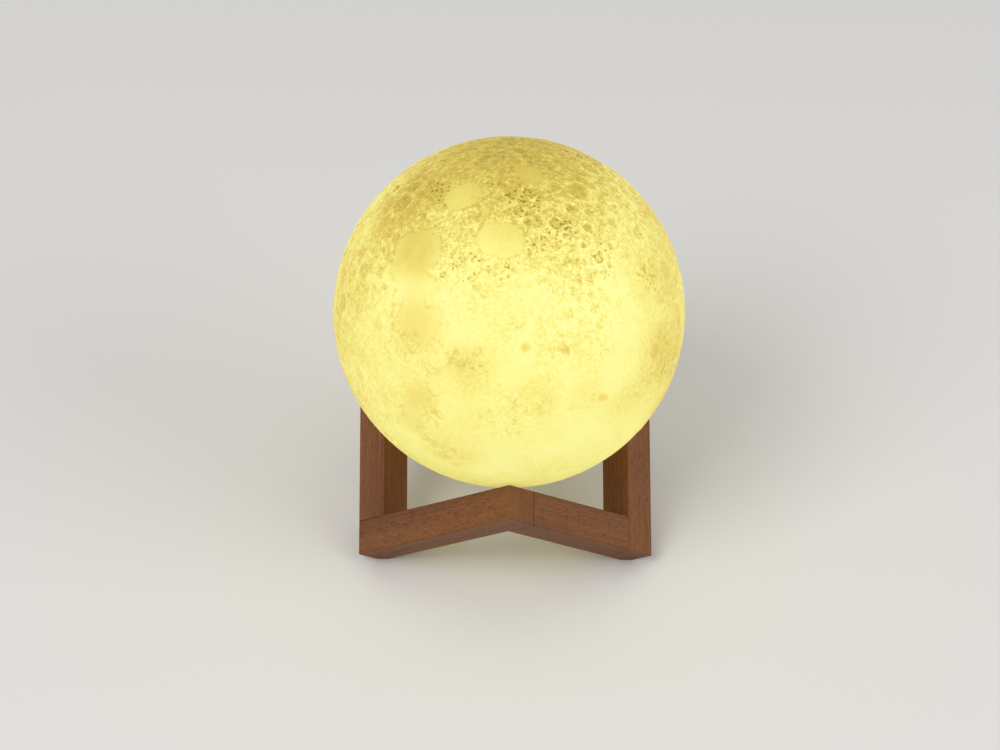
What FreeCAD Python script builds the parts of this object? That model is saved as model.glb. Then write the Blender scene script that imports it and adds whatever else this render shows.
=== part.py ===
import FreeCAD, Part
import math
import os
import re

import Sketcher
from FreeCAD import Placement, Rotation, Vector

# Moon lamp: a printed, hollow moon globe that rests on a zig-zag crown of square wooden rails.
#
# The six rails lie along edges of a cube that stands on one corner. The cube is not there itself:
# only the six edges that touch neither its top corner nor its bottom corner carry a rail. Three
# corners of the zig-zag are feet, the three between them carry the globe. At every corner a long
# rail runs through and a short rail butts on its side, held by a hidden dowel.
#
# Frame: millimetres, +Z up, the origin on the table straight under the middle of the globe, and
# -Y towards the viewer. One carrying corner points to -Y.

SIZES = {
    # Wooden stand
    "rail_length": 90.0,            # long rail, which is the edge of the cube
    "rail_width": 15.0,             # side of the square section
    "rail_round": 0.6,              # rounding of the rails' edges
    "foot_trim": 2.5,               # how much of each lowest corner is sawn off flat
    "dowel_diameter": 5.0,
    "dowel_in_short": 12.0,         # depth in the end grain of the short rail
    "dowel_in_long": 9.0,           # depth in the side of the long rail
    "dowel_play": 0.1,              # glue gap round a dowel
    "dowel_end_play": 0.5,          # glue gap past its end
    # Globe
    "moon_diameter": 150.0,
    "shell_wall": 1.6,
    "seat_gap": 0.3,                # from the globe to the corners that carry it
    "plain_depth": 0.35,            # of the smooth plains
    "crater_depth": 0.5,            # of the large craters
    # Ring bonded into the opening under the globe, which the pieces inside it set the size of
    "collar_wall": 1.4,             # between the plate and the edge of the opening
    "collar_play": 0.2,             # glue gap to the edge of the opening
    "collar_glue": 0.2,             # glue gap to the inside of the globe
    "collar_overlap": 5.0,          # flange past the edge of the opening
    "collar_height": 6.0,
    "boss_diameter": 4.4,
    "boss_height": 3.0,             # above the collar
    "boss_margin": 0.2,             # from the bore of the collar to a boss
    # Plate that closes the opening
    "plate_edge": 0.4,              # past the heads of its screws
    "plate_thickness": 2.0,
    "plate_play": 0.2,
    "spigot_height": 3.0,           # ring on the plate that centres the housing
    "spigot_wall": 1.4,
    "spigot_play": 0.2,
    # Screws that hold the plate to the collar
    "screw_diameter": 2.0,
    "screw_length": 8.0,
    "screw_head_diameter": 3.8,
    "screw_head_depth": 1.2,
    "screw_play": 0.1,
    # Metal touch ring in the plate
    "ring_width": 5.0,
    "ring_thickness": 1.2,
    "ring_proud": 0.3,              # stands out of the plate
    "ring_play": 0.1,
    "pin_diameter": 1.6,            # solder pin on the ring
    "pin_reach": 2.6,
    "pin_margin": 0.2,              # from the pin to the spigot
    # Moulded housing
    "housing_diameter": 36.4,
    "housing_wall": 1.6,
    "housing_top": 2.0,
    "housing_play": 0.3,            # to the bore of the collar
    "head_room": 5.0,               # from the board or the cell to the housing's top
    "seat_step": 1.0,               # raised seat of the light board
    "wire_hole": 5.0,
    "guide_length": 18.0,           # card guides that hold the control board
    "guide_lip": 1.1,
    "guide_play": 0.15,
    # Control board and what is on it
    "board_width": 25.0,
    "board_height": 35.0,
    "board_thickness": 1.2,
    "board_lift": 1.0,              # above the plate
    "socket_width": 9.0,
    "socket_depth": 3.2,
    "socket_height": 7.5,
    "socket_inset": 0.5,
    "socket_wall": 0.4,
    "socket_play": 0.3,
    "pipe_diameter": 2.0,
    "pipe_length": 5.0,
    "pipe_gap": 3.5,                # from the socket to the middle of the pipe
    "pipe_play": 0.1,
    "chip_depth": 1.5,
    "charge_chip_width": 5.0,
    "charge_chip_height": 4.0,
    "touch_chip_width": 4.0,
    "touch_chip_height": 5.0,
    "choke_depth": 3.0,
    "choke_side": 6.0,
    "capacitor_depth": 2.6,
    "capacitor_width": 3.4,
    "capacitor_height": 6.0,
    "charge_light_depth": 0.9,
    "charge_light_width": 1.6,
    "charge_light_height": 1.2,
    # Pouch cell
    "cell_thickness": 5.0,
    "cell_width": 20.0,
    "cell_height": 34.0,
    "cell_lift": 3.0,               # above the plate
    "cell_round": 1.2,              # rounding of the pouch
    "pad_thickness": 0.8,
    "pad_width": 16.0,
    "pad_height": 26.0,
    # Light board, its chips and its dome
    "light_margin": 1.5,            # seat past the edge of the board
    "light_play": 0.4,              # from the seat to the inside of the dome
    "led_board_thickness": 1.6,
    "led_side": 3.5,
    "led_height": 0.9,
    "led_inset": 6.0,               # from the edge of the board to the middle of a chip
    "led_screw_inset": 3.0,
    "led_screw_length": 5.0,
    "dome_inset": 0.4,              # shoulder of the housing past the dome
    "dome_wall": 1.4,
    "dome_skirt": 4.0,
    "dome_rise": 9.0,
    # Wires
    "lead_diameter": 1.2,
    "lead_spacing": 3.0,
    "lead_bend": 2.4,
}

# Levels worked out from the sizes. The heights of the light unit's pieces count from unit_base.
PLACES = {
    "cube_middle": "(rail_length / 2 + rail_width) / sqrt(3) - foot_trim",
    "seat_radius": "(rail_length - rail_width) * sqrt(2 / 3)",
    "seat_level": "(rail_length / 2 + rail_width - 3 * rail_round) / sqrt(3)",
    "seat_reach": "moon_diameter / 2 + rail_round + seat_gap",
    "moon_middle": "cube_middle + seat_level + sqrt(seat_reach ^ 2 - seat_radius ^ 2)",
    "inner_radius": "moon_diameter / 2 - shell_wall",
    "bore_radius": "housing_diameter / 2 + housing_play",
    "screw_radius": "bore_radius + boss_margin + boss_diameter / 2",
    "plate_radius": "screw_radius + screw_head_diameter / 2 + plate_edge",
    "opening_radius": "plate_radius + plate_play + collar_wall + collar_play",
    "rim_radius": "opening_radius + collar_overlap",
    "spigot_outer": "housing_diameter / 2 - housing_wall - spigot_play",
    "spigot_inner": "spigot_outer - spigot_wall",
    "ring_radius": "spigot_inner - pin_margin - pin_diameter / 2",
    "opening_drop": "sqrt((moon_diameter / 2) ^ 2 - opening_radius ^ 2)",
    "unit_base": "moon_middle - opening_drop",
    "plate_top": "plate_thickness",
    "board_bottom": "plate_top + board_lift",
    "board_top": "board_bottom + board_height",
    "board_near": "socket_depth / 2",
    "board_middle": "board_near + board_thickness / 2",
    "board_back": "board_near + board_thickness",
    "cell_middle": "board_back + pad_thickness + cell_thickness / 2",
    "cell_bottom": "plate_top + cell_lift",
    "cell_top": "cell_bottom + cell_height",
    "pipe_place": "socket_width / 2 + pipe_gap",
    "ceiling": "max(cell_top; board_top) + head_room",
    "housing_rim": "ceiling + housing_top",
    "light_seat": "housing_rim + seat_step",
    "light_face": "light_seat + led_board_thickness",
    "dome_radius": "housing_diameter / 2 - dome_inset",
    "light_seat_radius": "dome_radius - dome_wall - light_play",
    "light_radius": "light_seat_radius - light_margin",
    "led_screw_reach": "light_radius - led_screw_inset",
}

doc = FreeCAD.newDocument("moon_lamp")
sheet = doc.addObject("Spreadsheet::Sheet", "Sizes")
places = doc.addObject("App::FeaturePython", "Places")


def linked(formula):
    """Turns the plain names in a formula into references to the sheet and to the levels."""
    def reference(match):
        word = match.group(0)
        if word in SIZES:
            return "Sizes." + word
        if word in PLACES:
            return "Places." + word
        return word
    return re.sub(r"[a-z][a-z_]*", reference, str(formula))


def fill_sheet():
    for row, (name, value) in enumerate(SIZES.items(), start=1):
        sheet.set("A%d" % row, name)
        sheet.set("B%d" % row, str(value))
        sheet.setAlias("B%d" % row, name)
    doc.recompute()
    for name, formula in PLACES.items():
        places.addProperty("App::PropertyFloat", name)
        places.setExpression(name, linked(formula))
    doc.recompute()


def bind(item, **formulas):
    """Binds properties of an item: two underscores in a keyword stand for a dot."""
    for name, formula in formulas.items():
        item.setExpression(name.replace("__", "."), linked(formula))
    return item


def value(formula):
    """The number that a formula gives with the sizes as they are now."""
    return float(places.evalExpression(linked(formula)))


def put(item, x=0, y=0, z=0):
    return bind(item, Placement__Base__x=x, Placement__Base__y=y, Placement__Base__z=z)


# ---- Solids and booleans whose sizes follow the sheet ----

def cylinder(name, diameter, height, x=0, y=0, z=0):
    item = doc.addObject("Part::Cylinder", name)
    bind(item, Radius="(%s) / 2" % diameter, Height=height)
    return put(item, x, y, z)


def cone(name, lower, upper, height, x=0, y=0, z=0):
    item = doc.addObject("Part::Cone", name)
    bind(item, Radius1="(%s) / 2" % lower, Radius2="(%s) / 2" % upper, Height=height)
    return put(item, x, y, z)


def block(name, length, width, height, x=0, y=0, z=0):
    """A box that is centred on x and y and stands on z."""
    item = doc.addObject("Part::Box", name)
    bind(item, Length=length, Width=width, Height=height)
    return put(item, "(%s) - (%s) / 2" % (x, length), "(%s) - (%s) / 2" % (y, width), z)


def cut(name, base, *tools):
    item = doc.addObject("Part::Cut", name)
    item.Base = base
    item.Tool = tools[0] if len(tools) == 1 else fuse(name + "_tools", *tools)
    return item


def fuse(name, *pieces):
    item = doc.addObject("Part::MultiFuse", name)
    item.Shapes = list(pieces)
    return item


def common(name, *pieces):
    item = doc.addObject("Part::MultiCommon", name)
    item.Shapes = list(pieces)
    return item


def group(name, pieces):
    """Separate solids of one kind that share a node."""
    item = doc.addObject("Part::Compound", name)
    item.Links = list(pieces)
    return item


def polar(radius, degrees):
    """Formulas for x and y at an angle on a circle."""
    turn = math.radians(degrees)
    return "(%s) * %.9f" % (radius, math.cos(turn)), "(%s) * %.9f" % (radius, math.sin(turn))


# ---- Turned bodies ----

def origin_plane(body, role):
    return next(plane for plane in body.Origin.OriginFeatures if plane.Role == role)


def new_sketch(body, name, role):
    sketch = body.newObject("Sketcher::SketchObject", name)
    sketch.AttachmentSupport = [(origin_plane(body, role), "")]
    sketch.MapMode = "FlatFace"
    return sketch


def pin_point(sketch, name, edge, end, across, along):
    """Fixes one end of an edge at two formulas, counted from the sketch's origin."""
    for kind, axis, formula in (("DistanceX", "x", across), ("DistanceY", "y", along)):
        index = sketch.addConstraint(Sketcher.Constraint(kind, -1, 1, edge, end, value(formula)))
        sketch.renameConstraint(index, name + axis)
        bind(sketch, **{"Constraints__%s%s" % (name, axis): formula})


def outline(sketch, corners, arcs=()):
    """A closed outline through corners. An edge named in arcs bulges away from the centre line,
    as an arc whose middle is on that line, and all the others are straight."""
    points = [Vector(value(across), value(along), 0) for across, along in corners]
    count = len(points)
    for edge, start in enumerate(points):
        end = points[(edge + 1) % count]
        if edge not in arcs:
            sketch.addGeometry(Part.LineSegment(start, end))
            continue
        middle = (end.x ** 2 + end.y ** 2 - start.x ** 2 - start.y ** 2) / (2 * (end.y - start.y))
        radius = math.hypot(start.x, start.y - middle)
        begin, finish = (math.atan2(point.y - middle, point.x) for point in (start, end))
        circle = Part.Circle(Vector(0, middle, 0), Vector(0, 0, 1), radius)
        sketch.addGeometry(Part.ArcOfCircle(circle, min(begin, finish), max(begin, finish)))
    # An arc runs anticlockwise, so one that was asked for clockwise starts at its own far end.
    ends = []
    for edge, start in enumerate(points):
        first = sketch.Geometry[edge].StartPoint
        ends.append((1, 2) if first.distanceToPoint(start) < 1e-6 else (2, 1))
    for edge in range(count):
        following = (edge + 1) % count
        sketch.addConstraint(Sketcher.Constraint(
            "Coincident", edge, ends[edge][1], following, ends[following][0]))
        pin_point(sketch, "corner%d" % edge, edge, ends[edge][0], *corners[edge])
    for edge in arcs:
        sketch.addConstraint(Sketcher.Constraint("PointOnObject", edge, 3, -2))
    return sketch


def turned(name, corners, arcs=()):
    """A body turned round the Z axis from half of its section, given as radii and heights."""
    body = doc.addObject("PartDesign::Body", name)
    sketch = outline(new_sketch(body, name + "_section", "XZ_Plane"), corners, arcs)
    turning = body.newObject("PartDesign::Revolution", name + "_turning")
    turning.Profile = sketch
    turning.ReferenceAxis = (sketch, ["V_Axis"])
    turning.Angle = 360
    return body


# ---- Padded bodies ----

def padded(body, role, across, along, length):
    """A bar of rectangular section, centred on an origin plane of its body and square to it."""
    right, top = "(%s) / 2" % across, "(%s) / 2" % along
    left, bottom = "-" + right, "-" + top
    sketch = new_sketch(body, body.Name + "_section", role)
    outline(sketch, [(left, bottom), (right, bottom), (right, top), (left, top)])
    pad = body.newObject("PartDesign::Pad", body.Name + "_length")
    pad.Profile = sketch
    bind(pad, Length=length)
    doc.recompute()
    return pad


def rounded(body, feature, radius, edges):
    """Rounds some edges of a body's feature."""
    names = ["Edge%d" % number for number, edge in enumerate(feature.Shape.Edges, start=1)
             if any(edge.isSame(picked) for picked in edges)]
    fillet = body.newObject("PartDesign::Fillet", body.Name + "_edges")
    fillet.Base = (feature, names)
    bind(fillet, Radius=radius)
    body.Tip = fillet
    return body


# ---- Wooden stand ----

# Edge directions of the cube on its corner: each rises by the same slope, and seen from above
# they point to the right front, to the left front and to the back.
RIGHT = Vector(math.sqrt(1 / 2), -math.sqrt(1 / 6), math.sqrt(1 / 3))
LEFT = Vector(-math.sqrt(1 / 2), -math.sqrt(1 / 6), math.sqrt(1 / 3))
BACK = Vector(0, math.sqrt(2 / 3), math.sqrt(1 / 3))


def turn_about_axis(third):
    return Rotation(Vector(0, 0, 1), 120 * third)


def on_cube(right, left, back, third):
    """Formulas for the place that lies this far from the cube's middle along its three edge
    directions, turned round the vertical by a number of thirds."""
    axes = [turn_about_axis(third).multVec(axis) for axis in (RIGHT, LEFT, BACK)]
    sums = []
    for pick in "xyz":
        terms = ["%.9f * (%s)" % (getattr(axis, pick), part)
                 for axis, part in zip(axes, (right, left, back))]
        sums.append(" + ".join(terms))
    sums[2] += " + cube_middle"
    return dict(zip("xyz", sums))


def rail_body(name, length, ends_rounded):
    """A square rail from its own origin along +X, with its edges rounded."""
    body = doc.addObject("PartDesign::Body", name)
    pad = padded(body, "YZ_Plane", "rail_width", "rail_width", length)
    edges = [edge for edge in pad.Shape.Edges
             if ends_rounded or abs(edge.tangentAt(edge.FirstParameter).x) > 0.5]
    return rounded(body, pad, "rail_round", edges)


def bore(body, name, role, offset, across, depth):
    """A dowel hole drilled into a rail, from a plane beside one of its own and away from it."""
    sketch = new_sketch(body, name + "_place", role)
    bind(sketch, AttachmentOffset__Base__z=offset)
    middle = Vector(value(across), 0, 0)
    radius = "dowel_diameter / 2 + dowel_play"
    sketch.addGeometry(Part.Circle(middle, Vector(0, 0, 1), value(radius)))
    pin_point(sketch, "middle", 0, 3, across, 0)
    index = sketch.addConstraint(Sketcher.Constraint("Radius", 0, value(radius)))
    sketch.renameConstraint(index, "radius")
    bind(sketch, Constraints__radius=radius)
    pocket = body.newObject("PartDesign::Pocket", name)
    pocket.Profile = sketch
    pocket.Reversed = True
    bind(pocket, Length=depth)
    body.Tip = pocket


def place_rail(body, third, axes, start):
    """Stands a rail in the cube: its X, Y and Z run along the three directions in axes."""
    own = Rotation(axes[0], axes[1], axes[2], "XYZ")
    body.Placement = Placement(Vector(), turn_about_axis(third).multiply(own))
    put(body, **on_cube(*start, third))


def long_rail(label, third, table):
    """Runs from a foot up to a carrying corner and through both joints."""
    body = rail_body(label + "_body", "rail_length", True)
    depth = "dowel_in_long + dowel_end_play"
    bore(body, label + "_upper_bore", "XY_Plane", "-rail_width / 2",
         "rail_length - rail_width / 2", depth)
    bore(body, label + "_lower_bore", "XZ_Plane", "-rail_width / 2", "rail_width / 2", depth)
    start = ("-rail_length / 2", "(rail_length - rail_width) / 2", "-(rail_length - rail_width) / 2")
    place_rail(body, third, (RIGHT, BACK, LEFT), start)
    return cut(label, body, table)


def short_rail(label, third):
    """Fills the space between two long rails and butts on both."""
    length = "rail_length - 2 * rail_width"
    body = rail_body(label, length, False)
    depth = "dowel_in_short + dowel_end_play"
    bore(body, label + "_near_bore", "YZ_Plane", 0, 0, depth)
    bore(body, label + "_far_bore", "YZ_Plane", "%s - (%s)" % (length, depth), 0, depth)
    start = ("(rail_length - rail_width) / 2", "rail_width - rail_length / 2",
             "-(rail_length - rail_width) / 2")
    place_rail(body, third, (LEFT, RIGHT, BACK), start)
    return body


def dowels():
    """Six dowels, one across each joint, along the axis of the short rail."""
    pegs = []
    axis_place = "(rail_length - rail_width) / 2"
    joint_face = "rail_length / 2 - rail_width"
    for third in range(3):
        starts = ("%s - dowel_in_short" % joint_face, "-(%s) - dowel_in_long" % joint_face)
        for end, start in zip(("upper", "lower"), starts):
            peg = cylinder("dowel_%s_%d" % (end, third), "dowel_diameter",
                           "dowel_in_short + dowel_in_long")
            own = Rotation(Vector(0, 0, 1), LEFT)
            peg.Placement = Placement(Vector(), turn_about_axis(third).multiply(own))
            put(peg, **on_cube(axis_place, start, "-(%s)" % axis_place, third))
            pegs.append(peg)
    return group("joint_dowels", pegs)


def stand():
    table = block("below_table", "3 * rail_length", "3 * rail_length", "rail_length",
                  z="-rail_length")
    long_labels = ("long_rail_front_left", "long_rail_right", "long_rail_back_left")
    short_labels = ("short_rail_front_right", "short_rail_back_right", "short_rail_left")
    pieces = [long_rail(label, third, table) for third, label in enumerate(long_labels)]
    pieces += [short_rail(label, third) for third, label in enumerate(short_labels)]
    return pieces + [dowels()]


# ---- Globe ----

def sphere_height(radius, across):
    """Height of a ball's lower half at a distance from its axis, from the middle of the globe."""
    return "-sqrt((%s) ^ 2 - (%s) ^ 2)" % (radius, across)


# Smooth plains and large craters of the globe: longitude to the right of the viewer, latitude, and
# half the width, all in degrees as seen from the middle of the globe.
PLAINS = (
    (-8, 61, 6.2), (-58, 73, 6.8), (-50, 46, 8.6), (-40, 33, 5.2), (-31, 5, 5.0),
    (150, 42, 9.0), (-165, 22, 7.0), (-112, -8, 8.0), (106, -14, 6.5),
)
CRATERS = (
    (51, 66, 3.4), (31, 64, 2.6), (50, 58, 2.6), (40, 54, 2.2), (44, 48, 2.4), (73, 68, 4.6),
    (11, 74, 3.0), (28, 5, 3.2), (-24, -1, 2.4), (4, 26, 2.6), (54, 10, 3.0), (76, 28, 4.0),
    (-76, 14, 3.6), (-86, 52, 4.2), (125, 12, 4.4), (-140, 58, 4.8), (178, -22, 4.0),
    (112, 62, 3.6), (-120, 30, 3.4), (-150, -28, 4.2), (64, -30, 3.4), (-50, -26, 3.2),
)


def outward(tool, longitude, latitude, level):
    """Turns a tool to point away from the middle of the globe, and puts its foot at a level that
    counts from there."""
    around, up = math.radians(longitude), math.radians(latitude)
    axis = Vector(math.cos(up) * math.sin(around), -math.cos(up) * math.cos(around), math.sin(up))
    tool.Placement = Placement(Vector(), Rotation(Vector(0, 0, 1), axis))
    x, y, z = ("(%s) * %.9f" % (level, part) for part in axis)
    return put(tool, x, y, "moon_middle + " + z)


def plains():
    """Round caps whose underside is the globe's own curve, sunk by their depth."""
    floor = "(moon_diameter / 2 - plain_depth)"
    lid = "moon_diameter / 2 + plain_depth"
    tools = []
    for number, (longitude, latitude, spread) in enumerate(PLAINS):
        rim = "moon_diameter / 2 * %.9f" % math.sin(math.radians(spread))
        corners = [(rim, "sqrt(%s ^ 2 - (%s) ^ 2)" % (floor, rim)), (0, floor), (0, lid), (rim, lid)]
        tool = turned("plain_%d" % number, corners, arcs=(0,))
        tools.append(outward(tool, longitude, latitude, 0))
    return tools


def craters():
    """Pans with a flat floor and a sloping wall."""
    tools = []
    for number, (longitude, latitude, spread) in enumerate(CRATERS):
        half = math.radians(spread)
        rim = "moon_diameter * %.9f" % math.sin(half)
        floor = "moon_diameter * %.9f" % (0.7 * math.sin(half))
        # The wall meets the globe at the rim, which lies lower than the globe's crown does.
        rise = "(crater_depth - moon_diameter / 2 * %.9f)" % (1 - math.cos(half))
        outer = "%s + (%s - %s) * shell_wall / %s" % (floor, rim, floor, rise)
        tool = cone("crater_%d" % number, floor, outer, "shell_wall")
        tools.append(outward(tool, longitude, latitude, "moon_diameter / 2 - crater_depth"))
    return tools


def moon_shell():
    outer = "moon_diameter / 2"
    corners = [
        ("opening_radius", sphere_height(outer, "opening_radius")),
        (0, outer),
        (0, "inner_radius"),
        ("opening_radius", sphere_height("inner_radius", "opening_radius")),
    ]
    ball = put(turned("moon_ball", corners, arcs=(0, 2)), z="moon_middle")
    return cut("moon_shell", ball, *plains(), *craters())


# ---- Ring in the opening, and the plate ----


def mounting_collar():
    """Neck in the opening, and a flange whose underside follows the inside of the globe."""
    neck = "opening_radius - collar_play"
    ball = "inner_radius - collar_glue"
    step = "plate_radius + plate_play"
    corners = [
        (neck, 0),
        (neck, "opening_drop + " + sphere_height(ball, neck)),
        ("rim_radius", "opening_drop + " + sphere_height(ball, "rim_radius")),
        ("rim_radius", "collar_height"),
        ("bore_radius", "collar_height"),
        ("bore_radius", "plate_top"),
        (step, "plate_top"),
        (step, 0),
    ]
    ring = put(turned("collar_ring", corners, arcs=(1,)), z="unit_base")
    root = "collar_height / 2"
    bosses = []
    holes = []
    for number in range(3):
        x, y = polar("screw_radius", 30 + 120 * number)
        bosses.append(cylinder("collar_boss_%d" % number, "boss_diameter",
                               "collar_height - %s + boss_height" % root,
                               x, y, "unit_base + " + root))
        holes.append(cylinder("collar_pilot_%d" % number, "screw_diameter + 2 * screw_play",
                              "2 * (collar_height + boss_height)", x, y, "unit_base"))
    return cut("mounting_collar", fuse("collar_with_bosses", ring, *bosses), *holes)


def screw(name, x, y, z):
    """A countersunk screw with the face of its head at z and its shank up from there."""
    shank = cylinder(name + "_shank", "screw_diameter", "screw_length", x, y, z)
    head = cone(name + "_head", "screw_head_diameter", "screw_diameter", "screw_head_depth",
                x, y, z)
    return fuse(name, shank, head)


def countersink(name, x, y, z):
    """The seat of a screw head, wider than the head by the play."""
    wide = "screw_head_diameter + 2 * screw_play"
    narrow = "screw_diameter + 2 * screw_play"
    return cone(name, wide, narrow, "screw_head_depth", x, y, z)


def pin_place():
    """The touch ring's solder pin, in front and to the left."""
    return polar("ring_radius", 225)


def base_plate():
    """Disc with a groove for the touch ring, a spigot for the housing, and the socket's window."""
    groove = "ring_thickness - ring_proud + ring_play"
    groove_outer = "ring_radius + ring_width / 2 + ring_play"
    groove_inner = "ring_radius - ring_width / 2 - ring_play"
    corners = [
        (0, 0),
        (groove_inner, 0),
        (groove_inner, groove),
        (groove_outer, groove),
        (groove_outer, 0),
        ("plate_radius", 0),
        ("plate_radius", "plate_top"),
        ("spigot_outer", "plate_top"),
        ("spigot_outer", "plate_top + spigot_height"),
        ("spigot_inner", "plate_top + spigot_height"),
        ("spigot_inner", "plate_top"),
        (0, "plate_top"),
    ]
    disc = put(turned("plate_disc", corners), z="unit_base")
    through = "3 * plate_thickness"
    below = "unit_base - plate_thickness"
    tools = [
        block("socket_window", "socket_depth + 2 * socket_play", "socket_width + 2 * socket_play",
              through, z=below),
        cylinder("pipe_hole", "pipe_diameter + 2 * pipe_play", through, 0, "pipe_place", below),
        cylinder("pin_hole", "pin_diameter + 2 * ring_play", through, *pin_place(), below),
    ]
    for number in range(3):
        x, y = polar("screw_radius", 30 + 120 * number)
        tools.append(cylinder("plate_hole_%d" % number, "screw_diameter + 2 * screw_play",
                              through, x, y, below))
        tools.append(countersink("plate_sink_%d" % number, x, y, "unit_base"))
    return cut("base_plate", disc, *tools)


def base_screws():
    screws = []
    for number in range(3):
        x, y = polar("screw_radius", 30 + 120 * number)
        screws.append(screw("base_screw_%d" % number, x, y, "unit_base"))
    return group("base_screws", screws)


def touch_ring():
    """Flat metal ring with broken edges and a solder pin."""
    break_edge = 0.2
    outer = "ring_radius + ring_width / 2"
    inner = "ring_radius - ring_width / 2"
    low = "-ring_proud"
    corners = [
        ("%s + %s" % (inner, break_edge), low),
        ("%s - %s" % (outer, break_edge), low),
        (outer, "%s + %s" % (low, break_edge)),
        (outer, low + " + ring_thickness"),
        (inner, low + " + ring_thickness"),
        (inner, "%s + %s" % (low, break_edge)),
    ]
    ring = put(turned("ring_disc", corners), z="unit_base")
    pin = cylinder("ring_pin", "pin_diameter", "ring_thickness / 2 + pin_reach", *pin_place(),
                   "unit_base - ring_proud + ring_thickness / 2")
    return fuse("touch_ring", ring, pin)


# ---- Housing, boards and cell ----

def unit_housing():
    """Cup with its mouth down. Card guides hang from its top, and a raised seat carries the
    light board."""
    outer = "housing_diameter / 2"
    inner = outer + " - housing_wall"
    corners = [
        (inner, "plate_top"),
        (outer, "plate_top"),
        (outer, "housing_rim"),
        ("light_seat_radius", "housing_rim"),
        ("light_seat_radius", "light_seat"),
        (0, "light_seat"),
        (0, "ceiling"),
        (inner, "ceiling"),
    ]
    cup = put(turned("housing_cup", corners), z="unit_base")
    slot = "board_thickness + 2 * guide_play"
    # A guide is a bar down the wall, trimmed to the round bore by the common with its core.
    bars = []
    slots = []
    for side, name in ((1, "rear"), (-1, "front")):
        reach = "%d * (board_width / 2 + housing_wall)" % side
        bars.append(block("guide_bar_" + name, slot + " + 2 * guide_lip", "4 * guide_lip",
                          "guide_length", "board_middle", reach,
                          "unit_base + ceiling - guide_length"))
        slots.append(block("guide_slot_" + name, slot, "board_width / 4", "board_height",
                           "board_middle", "%d * (board_width * 3 / 8 + guide_play)" % side,
                           "unit_base + board_bottom"))
    core = cylinder("guide_core", "housing_diameter - housing_wall", "housing_rim - plate_top",
                    z="unit_base + plate_top")
    guides = common("housing_guides", fuse("guide_bars", *bars), core)
    bosses = []
    holes = [cylinder("housing_wire_hole", "wire_hole", "3 * housing_top", "-lead_bend", 0,
                      "unit_base + ceiling - housing_top")]
    for side, name in ((1, "right"), (-1, "left")):
        x = "%d * led_screw_reach" % side
        bosses.append(cylinder("light_boss_" + name, "boss_diameter", "boss_height + housing_top / 2",
                               x, 0, "unit_base + ceiling - boss_height"))
        holes.append(cylinder("light_pilot_" + name, "screw_diameter + 2 * screw_play",
                              "led_screw_length", x, 0,
                              "unit_base + light_seat - led_screw_length"))
    body = fuse("housing_whole", cup, guides, *bosses)
    return cut("unit_housing", body, *(slots + holes))


def control_board():
    return block("control_board", "board_thickness", "board_width", "board_height",
                 "board_middle", 0, "unit_base + board_bottom")


def board_components():
    """Charging and touch chips, choke, capacitor and charge light on the near face of the board."""
    def chip(name, depth, width, height, y, z):
        return block(name, depth, width, height, "board_near - %s / 2" % depth, y,
                     "unit_base + board_bottom + " + z)
    parts = [
        chip("charge_chip", "chip_depth", "charge_chip_width", "charge_chip_height",
             "-board_width * 0.24", "board_height * 0.35"),
        chip("touch_chip", "chip_depth", "touch_chip_width", "touch_chip_height",
             "board_width * 0.2", "board_height * 0.45"),
        chip("choke", "choke_depth", "choke_side", "choke_side",
             "-board_width * 0.2", "board_height * 0.58"),
        chip("capacitor", "capacitor_depth", "capacitor_width", "capacitor_height",
             "board_width * 0.24", "board_height * 0.68"),
        chip("charge_light", "charge_light_depth", "charge_light_width", "charge_light_height",
             "pipe_place", "pipe_length"),
    ]
    return group("board_components", parts)


def charging_socket():
    """Metal-shelled inlet that opens down through the plate, with its contact tongue."""
    shell = block("socket_shell", "socket_depth", "socket_width", "socket_height",
                  z="unit_base + socket_inset")
    mouth = block("socket_mouth", "socket_depth - 2 * socket_wall",
                  "socket_width - 2 * socket_wall", "socket_height - socket_wall",
                  z="unit_base + socket_inset - socket_wall")
    tongue = block("socket_tongue", "socket_wall * 1.6", "socket_width * 0.72",
                   "socket_height - 2 * socket_wall", z="unit_base + socket_inset + socket_wall")
    return fuse("charging_socket", cut("socket_can", shell, mouth), tongue)


def light_pipe():
    return cylinder("light_pipe", "pipe_diameter", "pipe_length", 0, "pipe_place", "unit_base")


def battery_cell():
    """Flat pouch with rounded edges and a narrower header where its leads start."""
    header = "cell_thickness / 2"
    pouch = doc.addObject("PartDesign::Body", "cell_pouch")
    pad = padded(pouch, "XY_Plane", "cell_thickness", "cell_width", "cell_height - " + header)
    rounded(pouch, pad, "cell_round", pad.Shape.Edges)
    put(pouch, "cell_middle", 0, "unit_base + cell_bottom")
    top = block("cell_header", header, "cell_width * 0.9", "2 * " + header,
                "cell_middle", 0, "unit_base + cell_top - 2 * " + header)
    return fuse("battery_cell", pouch, top)


def battery_pad():
    return block("battery_pad", "pad_thickness", "pad_width", "pad_height",
                 "board_back + pad_thickness / 2", 0,
                 "unit_base + cell_bottom + (cell_height - pad_height) / 2")


# ---- Light source ----

def led_hole_places():
    """Where the two leads pass through the light board."""
    return [("-lead_bend", "%d * lead_spacing / 2" % side) for side in (1, -1)]


def led_board():
    disc = cylinder("led_disc", "2 * light_radius", "led_board_thickness",
                    z="unit_base + light_seat")
    tools = []
    for number, (x, y) in enumerate(led_hole_places()):
        tools.append(cylinder("led_lead_hole_%d" % number, "lead_diameter + 2 * screw_play",
                              "3 * led_board_thickness", x, y,
                              "unit_base + light_seat - led_board_thickness"))
    for side in (1, -1):
        tools.append(cylinder("led_screw_hole_%d" % (side + 1), "screw_diameter + 2 * screw_play",
                              "3 * led_board_thickness", "%d * led_screw_reach" % side, 0,
                              "unit_base + light_seat - led_board_thickness"))
    return cut("led_board", disc, *tools)


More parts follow.
